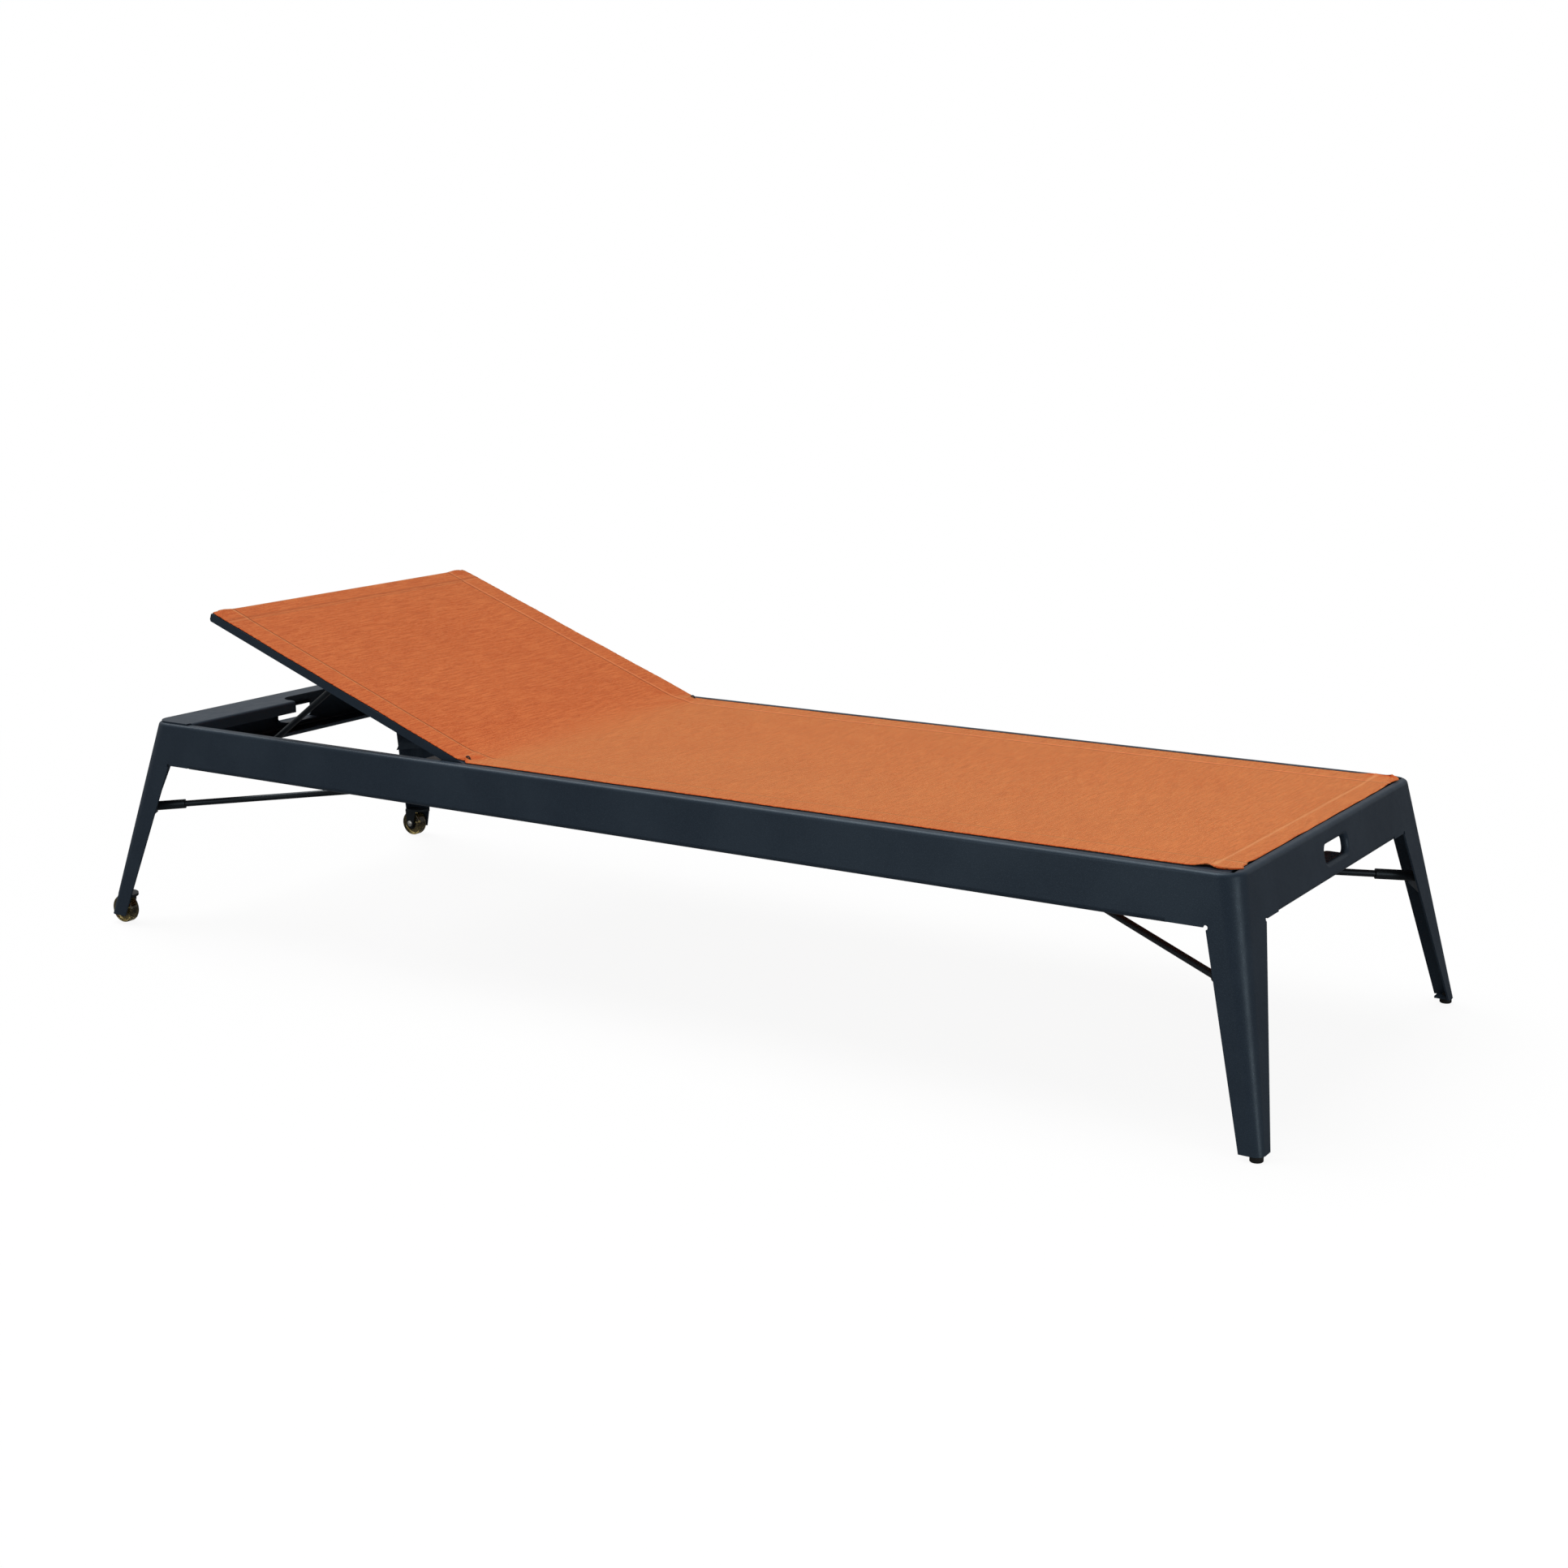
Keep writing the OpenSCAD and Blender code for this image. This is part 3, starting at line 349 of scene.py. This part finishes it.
# ---------------------------------------------------------------- smooth shading of pressed sheet
def smooth_bends(node, angle):
    """Shades a CAD node's small bends as one curve: only its normals, never its shape."""
    mesh = node.data
    points = np.empty(len(mesh.vertices) * 3)
    mesh.vertices.foreach_get("co", points)
    keys = np.round(points.reshape(-1, 3) / 1e-6).astype(np.int64)
    place = np.unique(keys, axis=0, return_inverse=True)[1].ravel()
    corner_vertex = np.empty(len(mesh.loops), np.int32)
    mesh.loops.foreach_get("vertex_index", corner_vertex)
    corner_place = place[corner_vertex]
    face_normal = np.empty(len(mesh.polygons) * 3)
    mesh.polygons.foreach_get("normal", face_normal)
    face_normal = face_normal.reshape(-1, 3)
    face_area = np.empty(len(mesh.polygons))
    mesh.polygons.foreach_get("area", face_area)
    face_size = np.empty(len(mesh.polygons), np.int32)
    mesh.polygons.foreach_get("loop_total", face_size)
    corner_face = np.repeat(np.arange(len(mesh.polygons)), face_size)
    order = np.argsort(corner_place, kind="stable")
    starts = np.searchsorted(corner_place[order], np.arange(place.max() + 2))
    limit = math.cos(angle)
    normals = np.empty((len(mesh.loops), 3))
    for first, last in zip(starts[:-1], starts[1:]):
        corners = order[first:last]
        faces = corner_face[corners]
        around = np.unique(faces)
        own = face_normal[faces]
        near = own @ face_normal[around].T > limit
        total = (near * face_area[around]) @ face_normal[around]
        normals[corners] = total / np.maximum(np.linalg.norm(total, axis=1, keepdims=True), 1e-12)
    mesh.normals_split_custom_set(normals.tolist())


SMOOTH_ANGLE = math.radians(28)

for pressed in nodes:
    if pressed.startswith(("leg_", "castor_bracket", "foot_tabs", "brace_gussets")):
        smooth_bends(nodes[pressed], SMOOTH_ANGLE)


# ---------------------------------------------------------------- the sling
def spread_columns():
    """Distances of the cloth's columns from its edge, close together at the edge and the seam."""
    seam = bed_half - SIDE_SEAM
    near_edge = [0, 0.5, 1.1, 2.0, 4, 7, 11, 15, 20, 27, 34]
    near_seam = [seam / MM + d for d in (-4.5, -3, -1.8, -0.9, 0, 0.9, 2.2, 5)]
    middle = [55, 66, 80, 98, 120, 146, 176, 210, 244, 272]
    half = np.array(near_edge + near_seam + middle) * MM
    left = -bed_half + half
    return np.concatenate([left, [0.0], -left[::-1]])


def spread_rows():
    """Places of the cloth's rows along its length: the hinge is 0, the foot is positive."""
    step = 3 * MM
    rows = list(np.arange(-TOP_EDGE - WRAP, FOOT_EDGE, step)) + [FOOT_EDGE]
    for seam in (FOOT_SEAM, -TOP_SEAM):
        rows += [seam + d * MM for d in (-1.6, -0.8, 0, 0.8, 1.6)]
    rows += list(np.arange(-16 * MM, 16 * MM, 1.5 * MM))
    near_foot = [0.5, 1.1, 2.0, 4.0, 5.5, 7, 8.5, 10, 11.5, 13, 14.5, 17, 20, 23, 26]
    rows += list(FOOT_EDGE - np.array(near_foot) * MM)
    return np.unique(np.round(rows, 5))


WRAP = 28 * MM
CLOTH = 0.9 * MM
LIFT = 0.3 * MM


def smooth(t):
    t = np.clip(t, 0.0, 1.0)
    return t * t * (3 - 2 * t)


def bump_at(x, centre, width):
    """A smooth bump of height 1 around centre."""
    return np.exp(-(((x - centre) / width) ** 2))


def path(u, radius):
    """Place and upward normal on the cloth's path, u from the hinge, bending by the recline angle."""
    tangent = radius * math.tan(recline / 2)
    turn = np.clip((1 - u / tangent) / 2, 0, 1) * recline
    corner_z = bar_half + LIFT
    shift = corner_z * math.tan(recline / 2)
    corner_x = shift
    in_bend = np.abs(u) < tangent
    x = np.where(u > 0, corner_x + u, corner_x + u * math.cos(recline))
    z = np.where(u > 0, corner_z, corner_z - u * math.sin(recline))
    bend_x = corner_x + tangent - radius * np.sin(turn)
    bend_z = corner_z + radius * (1 - np.cos(turn))
    x = np.where(in_bend, bend_x, x)
    z = np.where(in_bend, bend_z, z)
    return x, z, np.sin(turn), np.cos(turn)


def wrap_round_tip(u):
    """Turns what lies past the top edge down the tip and under the top tube: along, up and tilt."""
    past = np.maximum(-TOP_EDGE - u, 0.0)
    radius = 3 * MM
    quarter = radius * math.pi / 2
    drop = 2 * bar_half + 2 * LIFT
    first = np.minimum(past, quarter) / radius
    fall = np.clip(past - quarter, 0, drop)
    second = np.clip(past - quarter - drop, 0, quarter) / radius
    under = np.maximum(past - 2 * quarter - drop, 0)
    along = radius * np.sin(first) - radius * (1 - np.cos(second)) - under
    up = -radius * (1 - np.cos(first)) - fall - radius * np.sin(second)
    return along, up, first + second


def sling_surface(u, v, height):
    """Maps cloth coordinates to space. u is along, v across, height off the middle surface."""
    share = np.abs(v) / bed_half
    radius = 0.03 + 0.34 * (1 - share**2.2)
    flat_u = np.maximum(u, -TOP_EDGE)
    x, z, nx, nz = path(flat_u, radius)
    along, up, tilt = wrap_round_tip(u)
    # the tip's own directions: outward along the backrest, and its normal
    out_x, out_z = -math.cos(recline), math.sin(recline)
    normal_x, normal_z = math.sin(recline), math.cos(recline)
    x = x + along * out_x + up * normal_x
    z = z + along * out_z + up * normal_z
    wrapped = tilt > 0
    turned_x = normal_x * np.cos(tilt) + out_x * np.sin(tilt)
    turned_z = normal_z * np.cos(tilt) + out_z * np.sin(tilt)
    nx = np.where(wrapped, turned_x, nx)
    nz = np.where(wrapped, turned_z, nz)
    return np.stack([hinge.x + x + nx * height, v, hinge.z + z + nz * height], -1)


def sling_outline(u, v, rng):
    """Pulls the cloth's edges in and out: notched foot corners, a rounded tip and a frayed edge."""
    side = np.sign(v)
    depth = bed_half - np.abs(v)
    near_side = 1 - smooth(depth / (13 * MM))
    by_hinge = np.abs(u) < 11 * MM
    from_foot = FOOT_EDGE - u
    foot_pull = bump_at(from_foot, 36 * MM, 15 * MM) * 6.0 * MM
    corner_cut = (1 - smooth(depth / (32 * MM))) * bump_at(from_foot, 0, 14 * MM) * 6 * MM
    hinge_pull = bump_at(u, -3 * MM, 6 * MM) * 7.5 * MM
    waver = (np.sin(u * 21 + side) + np.sin(u * 47 + 2 * side)) * 0.45 * MM
    at_edge = np.maximum(1 - depth / (5 * MM), 0)
    fray = rng.normal(0.0, 0.4 * MM, u.shape[0])[:, None] * at_edge
    corner_fray = rng.normal(0.0, 0.9 * MM, u.shape[0])[:, None] * at_edge
    pull = foot_pull + hinge_pull + waver + 1.2 * MM
    pull = near_side * pull + corner_cut
    new_v = v - side * (pull + fray + corner_fray * ((from_foot < 45 * MM) | by_hinge))
    near_foot = 1 - smooth(from_foot / (45 * MM))
    side_gap = bed_half - np.abs(v)
    round_off = np.maximum(1 - side_gap / (14 * MM), 0.0) ** 2 * 9 * MM
    foot_notch = bump_at(side_gap, 53 * MM, 8 * MM) * 2.5 * MM
    foot_tongue = bump_at(side_gap, 16 * MM, 10 * MM) * 5 * MM
    at_foot = np.maximum(1 - from_foot / (5 * MM), 0)
    foot_fray = rng.normal(0.0, 0.5 * MM, u.shape[1])[None, :] * at_foot
    new_u = u - near_foot * (round_off + foot_notch - foot_tongue + foot_fray)
    near_tip = 1 - smooth((u - u.min()) / (62 * MM))
    tip_round = np.maximum(1 - side_gap / (24 * MM), 0.0) ** 1.5 * (WRAP + 4 * MM)
    new_u = new_u + near_tip * tip_round
    return new_u, new_v


def sling_height(u, v):
    """Height of the cloth's top face over the bars: two layers in the hems, sag and puckers."""
    depth_side = bed_half - np.abs(v)
    in_side = smooth((np.abs(v) - SIDE_SEAM + 1.2 * MM) / (2.4 * MM))
    in_foot = smooth((u - FOOT_SEAM + 1.0 * MM) / (2 * MM))
    in_top = smooth((-u - TOP_SEAM + 1.0 * MM) / (2 * MM))
    layers = 1 + np.maximum(np.maximum(in_side, in_foot), in_top)
    layers = layers + 0.35 * np.maximum(np.minimum(in_side, in_foot), np.minimum(in_side, in_top))
    top = layers * CLOTH
    free = smooth((bed_half - bar_width - np.abs(v)) / (240 * MM))
    ends = smooth((FOOT_EDGE - 22 * MM - u) / 0.25) * smooth((u + TOP_EDGE - 22 * MM) / 0.2)
    off_hinge = smooth((np.abs(u) - 40 * MM) / 0.25)
    sag = -3.2 * MM * free * ends * off_hinge
    # puckers that run inward from the slits at the hinge
    reach = depth_side / (75 * MM)
    pucker = np.exp(-reach) * bump_at(u + 0.25 * depth_side, 4 * MM, 7 * MM + 0.16 * depth_side)
    by_clip = 1 - bump_at(bed_half - depth_side, CLIP_ACROSS, 7 * MM) * bump_at(u, 0, 9 * MM)
    pucker = pucker * smooth(depth_side / (12 * MM)) * 3.4 * MM * by_clip
    second = np.exp(-reach) * bump_at(u - 0.32 * depth_side, -9 * MM, 6 * MM + 0.12 * depth_side)
    second = second * smooth(depth_side / (14 * MM)) * 1.6 * MM
    # foot corners curl up, more at the left side
    from_foot = FOOT_EDGE - u
    curl = np.exp(-(from_foot + depth_side) / (20 * MM)) * np.where(v > 0, 6.0, 0.5) * MM
    ripple = bump_at(from_foot, 36 * MM, 14 * MM) * np.exp(-depth_side / (16 * MM)) * 3.2 * MM
    tip_puff = bump_at(-u, TOP_EDGE, 9 * MM) * bump_at(depth_side, 20 * MM, 16 * MM) * 1.8 * MM
    rise = sag + pucker + second + curl + ripple + tip_puff
    # every cut edge is thinner than the cloth and lifts a little off the bar
    edge = np.minimum(np.minimum(depth_side, FOOT_EDGE - u), u - u.min())
    thinning = (1 - smooth(edge / (1.8 * MM))) * 0.7 * top
    return top + rise - 0.45 * thinning, rise + 0.55 * thinning


def grid_faces(rows, columns, offset, flip):
    """Quads of a grid of vertices."""
    faces = []
    for i in range(rows - 1):
        for j in range(columns - 1):
            a = offset + i * columns + j
            quad = (a, a + columns, a + columns + 1, a + 1)
            faces.append(quad[::-1] if flip else quad)
    return faces


def rim_faces(rows, columns, other):
    """Quads that close the edge between the top grid and the bottom grid."""
    ring = [i * columns for i in range(rows)]
    ring += [(rows - 1) * columns + j for j in range(1, columns)]
    ring += [i * columns + columns - 1 for i in range(rows - 2, -1, -1)]
    ring += list(range(columns - 2, 0, -1))
    faces = []
    for k, a in enumerate(ring):
        b = ring[(k + 1) % len(ring)]
        faces.append((b, a, a + other, b + other))
    return faces


def make_sling():
    """One continuous sling from the foot bar over the hinge and round the backrest's tip."""
    rng = np.random.default_rng(7)
    rows, columns = spread_rows(), spread_columns()
    u, v = np.meshgrid(rows, columns, indexing="ij")
    top_height, rise = sling_height(u, v)
    new_u, new_v = sling_outline(u, v, rng)
    top = sling_surface(new_u, new_v, top_height)
    bottom = sling_surface(new_u, new_v, rise)
    count = u.size
    points = np.concatenate([top.reshape(-1, 3), bottom.reshape(-1, 3)])
    faces = grid_faces(*u.shape, 0, False) + grid_faces(*u.shape, count, True)
    faces += rim_faces(*u.shape, count)
    mesh = bpy.data.meshes.new("sling")
    mesh.from_pydata(points.tolist(), [], faces)
    mesh.validate()
    cloth = np.stack([u.ravel(), v.ravel()], -1)
    cloth = np.concatenate([cloth, cloth])
    layer = mesh.uv_layers.new(name="cloth")
    corners = np.zeros(len(mesh.loops), np.int32)
    mesh.loops.foreach_get("vertex_index", corners)
    layer.data.foreach_set("uv", cloth[corners].astype(np.float32).ravel())
    mesh.shade_smooth()
    sling = bpy.data.objects.new("sling", mesh)
    bpy.context.scene.collection.objects.link(sling)
    mesh.materials.append(materials["sling_fabric"])
    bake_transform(sling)
    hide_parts("seat_sling", "back_sling")
    return sling


sling = make_sling()


# ---------------------------------------------------------------- grip lips of the handle slots
SLOT_LENGTH, SLOT_HEIGHT = 80 * MM, 24 * MM
FOOT_LEAN, HEAD_LEAN = math.radians(10.8), math.radians(13)
LIP_HALF, LIP_DEPTH, LIP_CORNER, LIP_SHEET = 36 * MM, 21 * MM, 6 * MM, 2.4 * MM


def make_grip_lip(name, apron, side, lean):
    """A guessed folded lip that runs inward from the lower edge of an apron's slot."""
    inward = Vector((-side * math.cos(lean), 0.0, -math.sin(lean)))
    up = Vector((-side * math.sin(lean), 0.0, math.cos(lean)))
    # the inner end of the slot's rim, from the apron's own mesh
    low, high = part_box(apron)
    half = SLOT_LENGTH / 2 + 1 * MM
    middle_z = (low.z + high.z) / 2
    places = [v.co for v in nodes[apron].data.vertices]
    rim = [p for p in places if abs(p.y) < half and abs(p.z - middle_z) < SLOT_HEIGHT]
    end = max(point.dot(inward) for point in rim)
    rise = [point.dot(up) for point in rim if point.dot(inward) > end - 0.1 * MM]
    floor_rise = (min(rise) + max(rise)) / 2 - SLOT_HEIGHT / 2
    outline = [(-LIP_HALF, 0.0), (LIP_HALF, 0.0)]
    for sx, start in ((1, 0), (-1, 1)):
        for step in range(9):
            angle = (start + step / 8) * math.pi / 2
            across = sx * (LIP_HALF - LIP_CORNER) + LIP_CORNER * math.cos(angle)
            outline.append((across, LIP_DEPTH - LIP_CORNER + LIP_CORNER * math.sin(angle)))
    built = bmesh.new()
    verts = []
    for across, depth in outline:
        place = inward * end + up * floor_rise + Vector((-side * depth, 0, 0))
        verts.append(built.verts.new(place + Vector((0, across, 0))))
    face = built.faces.new(verts)
    grown = bmesh.ops.extrude_face_region(built, geom=[face])
    moved = [item for item in grown["geom"] if isinstance(item, bmesh.types.BMVert)]
    bmesh.ops.translate(built, verts=moved, vec=-up * LIP_SHEET)
    bmesh.ops.recalc_face_normals(built, faces=built.faces)
    rims = [edge for edge in built.edges if edge.calc_face_angle(0.0) > math.radians(60)]
    bmesh.ops.bevel(built, geom=rims, offset=0.7 * MM, segments=3, affect="EDGES")
    mesh = bpy.data.meshes.new(name)
    built.to_mesh(mesh)
    built.free()
    mesh.shade_smooth()
    mesh.set_sharp_from_angle(angle=math.radians(35))
    mesh.materials.append(materials["painted_steel"])
    lip = bpy.data.objects.new(name, mesh)
    bpy.context.scene.collection.objects.link(lip)
    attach(lip, "frame")


make_grip_lip("grip_lip_foot", "foot_apron", 1, FOOT_LEAN)
make_grip_lip("grip_lip_head", "head_apron", -1, HEAD_LEAN)


# ---------------------------------------------------------------- stage, light and camera
AMBIENT = 0.28
# how bright reflections see the sky and the floor: the camera sees both at 1
SKY_IN_GLOSS = 0.36
FLOOR_IN_GLOSS = 0.12
FLOOR_RADIUS = 14.0
# the floor's own colour as it is seen, and as bounced light meets it
FLOOR_SEEN, FLOOR_BOUNCE = (0.9, 0.9, 0.9), (0.4, 0.4, 0.4)
# the share of plain glow in the floor as it is seen, by distance from the middle
GLOW_NEAR, GLOW_NEAR_AT, GLOW_FAR_AT = 0.92, 1.2, 2.6
SUN_POWER, SUN_ANGLE, SUN_DIRECTION = 2.7, math.radians(48), (0.42, -0.06, -1.0)
CAMERA_ANGLES = (33.0813, 12.6805, -0.444)
CAMERA_TARGET, CAMERA_DISTANCE = (0.01428, 0.1335, 0.25), 3.6242
CAMERA_LENS, CAMERA_SHIFT = 53.249, (-0.0051, 0.00105)


def make_floor():
    """A pale floor that glows into the white background and keeps a small share of the shadow.

    Bounced light meets a darker floor than the camera sees, and reflections see its glow dimmed.
    """
    bpy.ops.mesh.primitive_circle_add(vertices=96, radius=FLOOR_RADIUS, fill_type="NGON")
    floor = bpy.context.object
    floor.name = "floor"
    s = Shader("floor")
    rays = s.add("ShaderNodeLightPath").outputs
    shade = s.mix(rays["Is Diffuse Ray"], FLOOR_SEEN, FLOOR_BOUNCE)
    s.set(s.surface, Base_Color=shade, Roughness=0.9)
    s.surface.inputs["Specular IOR Level"].default_value = 0.0
    glow = s.add("ShaderNodeEmission")
    gloss = rays["Is Glossy Ray"]
    seen = s.math("MAXIMUM", rays["Is Camera Ray"], rays["Is Transmission Ray"])
    s.join(s.math("MULTIPLY_ADD", gloss, FLOOR_IN_GLOSS - 1.0, 1.0), glow.inputs["Strength"])
    radius = s.add("ShaderNodeVectorMath", operation="LENGTH")
    s.join(s.object_point(), radius.inputs[0])
    far = s.ramp(radius.outputs["Value"], GLOW_NEAR_AT, GLOW_FAR_AT, GLOW_NEAR, 1.0)
    share = s.math("MAXIMUM", s.math("MULTIPLY", seen, far), gloss)
    blend = s.add("ShaderNodeMixShader")
    s.join(share, blend.inputs[0])
    s.join(s.surface.outputs["BSDF"], blend.inputs[1])
    s.join(glow.outputs[0], blend.inputs[2])
    s.join(blend.outputs[0], s.output.inputs["Surface"])
    floor.data.materials.append(s.material)


def make_world():
    """Even soft light: a white background where it is seen or looked through, dimmed in reflections."""
    world = bpy.data.worlds.new("studio")
    bpy.context.scene.world = world
    world.use_nodes = True
    tree = world.node_tree
    tree.nodes.clear()
    output = tree.nodes.new("ShaderNodeOutputWorld")
    rays = tree.nodes.new("ShaderNodeLightPath")
    strength = None
    shares = (("Is Camera Ray", 1.0), ("Is Transmission Ray", 1.0), ("Is Glossy Ray", SKY_IN_GLOSS))
    for kind, level in shares:
        share = tree.nodes.new("ShaderNodeMath")
        share.operation = "MULTIPLY"
        tree.links.new(rays.outputs[kind], share.inputs[0])
        share.inputs[1].default_value = level
        most = tree.nodes.new("ShaderNodeMath")
        most.operation = "MAXIMUM"
        tree.links.new(share.outputs[0], most.inputs[0])
        most.inputs[1].default_value = AMBIENT
        if strength:
            tree.links.new(strength.outputs[0], most.inputs[1])
        strength = most
    background = tree.nodes.new("ShaderNodeBackground")
    background.inputs["Color"].default_value = (1.0, 1.0, 1.0, 1.0)
    tree.links.new(strength.outputs[0], background.inputs["Strength"])
    tree.links.new(background.outputs[0], output.inputs["Surface"])


def area_light(name, place, target, size, power):
    data = bpy.data.lights.new(name, "AREA")
    data.shape = "RECTANGLE"
    data.size, data.size_y = size
    data.energy = power
    light = bpy.data.objects.new(name, data)
    bpy.context.scene.collection.objects.link(light)
    light.location = place
    direction = Vector(target) - Vector(place)
    light.rotation_euler = direction.to_track_quat("-Z", "Y").to_euler()
    light.visible_camera = False


def make_lights():
    middle = Vector((0.0, 0.0, 0.3))
    sun = bpy.data.lights.new("overhead", "SUN")
    sun.energy = SUN_POWER
    sun.angle = SUN_ANGLE
    lamp = bpy.data.objects.new("overhead", sun)
    bpy.context.scene.collection.objects.link(lamp)
    lamp.rotation_euler = Vector(SUN_DIRECTION).to_track_quat("-Z", "Y").to_euler()
    area_light("side_strip", (3.42, -0.95, 0.62), (0.96, -0.35, 0.2), (0.9, 1.1), 17.0)
    area_light("front_fill", (-0.6, -3.6, 1.3), middle, (1.6, 1.0), 13.0)


def make_camera():
    """The camera where the reference view was taken from."""
    azimuth, elevation, roll = (math.radians(a) for a in CAMERA_ANGLES)
    target = Vector(CAMERA_TARGET)
    back = Vector(
        (
            math.sin(azimuth) * math.cos(elevation),
            -math.cos(azimuth) * math.cos(elevation),
            math.sin(elevation),
        )
    )
    right = (-back).cross(Vector((0, 0, 1))).normalized()
    up = right.cross(-back)
    c, s = math.cos(roll), math.sin(roll)
    right, up = c * right + s * up, -s * right + c * up
    data = bpy.data.cameras.new("camera")
    data.sensor_width = 36.0
    data.lens = CAMERA_LENS
    data.shift_x, data.shift_y = CAMERA_SHIFT
    camera = bpy.data.objects.new("camera", data)
    bpy.context.scene.collection.objects.link(camera)
    turn = Matrix((right, up, back)).transposed().to_4x4()
    camera.matrix_world = Matrix.Translation(target + back * CAMERA_DISTANCE) @ turn
    bpy.context.scene.camera = camera


make_floor()
make_world()
make_lights()
make_camera()
bpy.context.scene.view_settings.view_transform = "Standard"
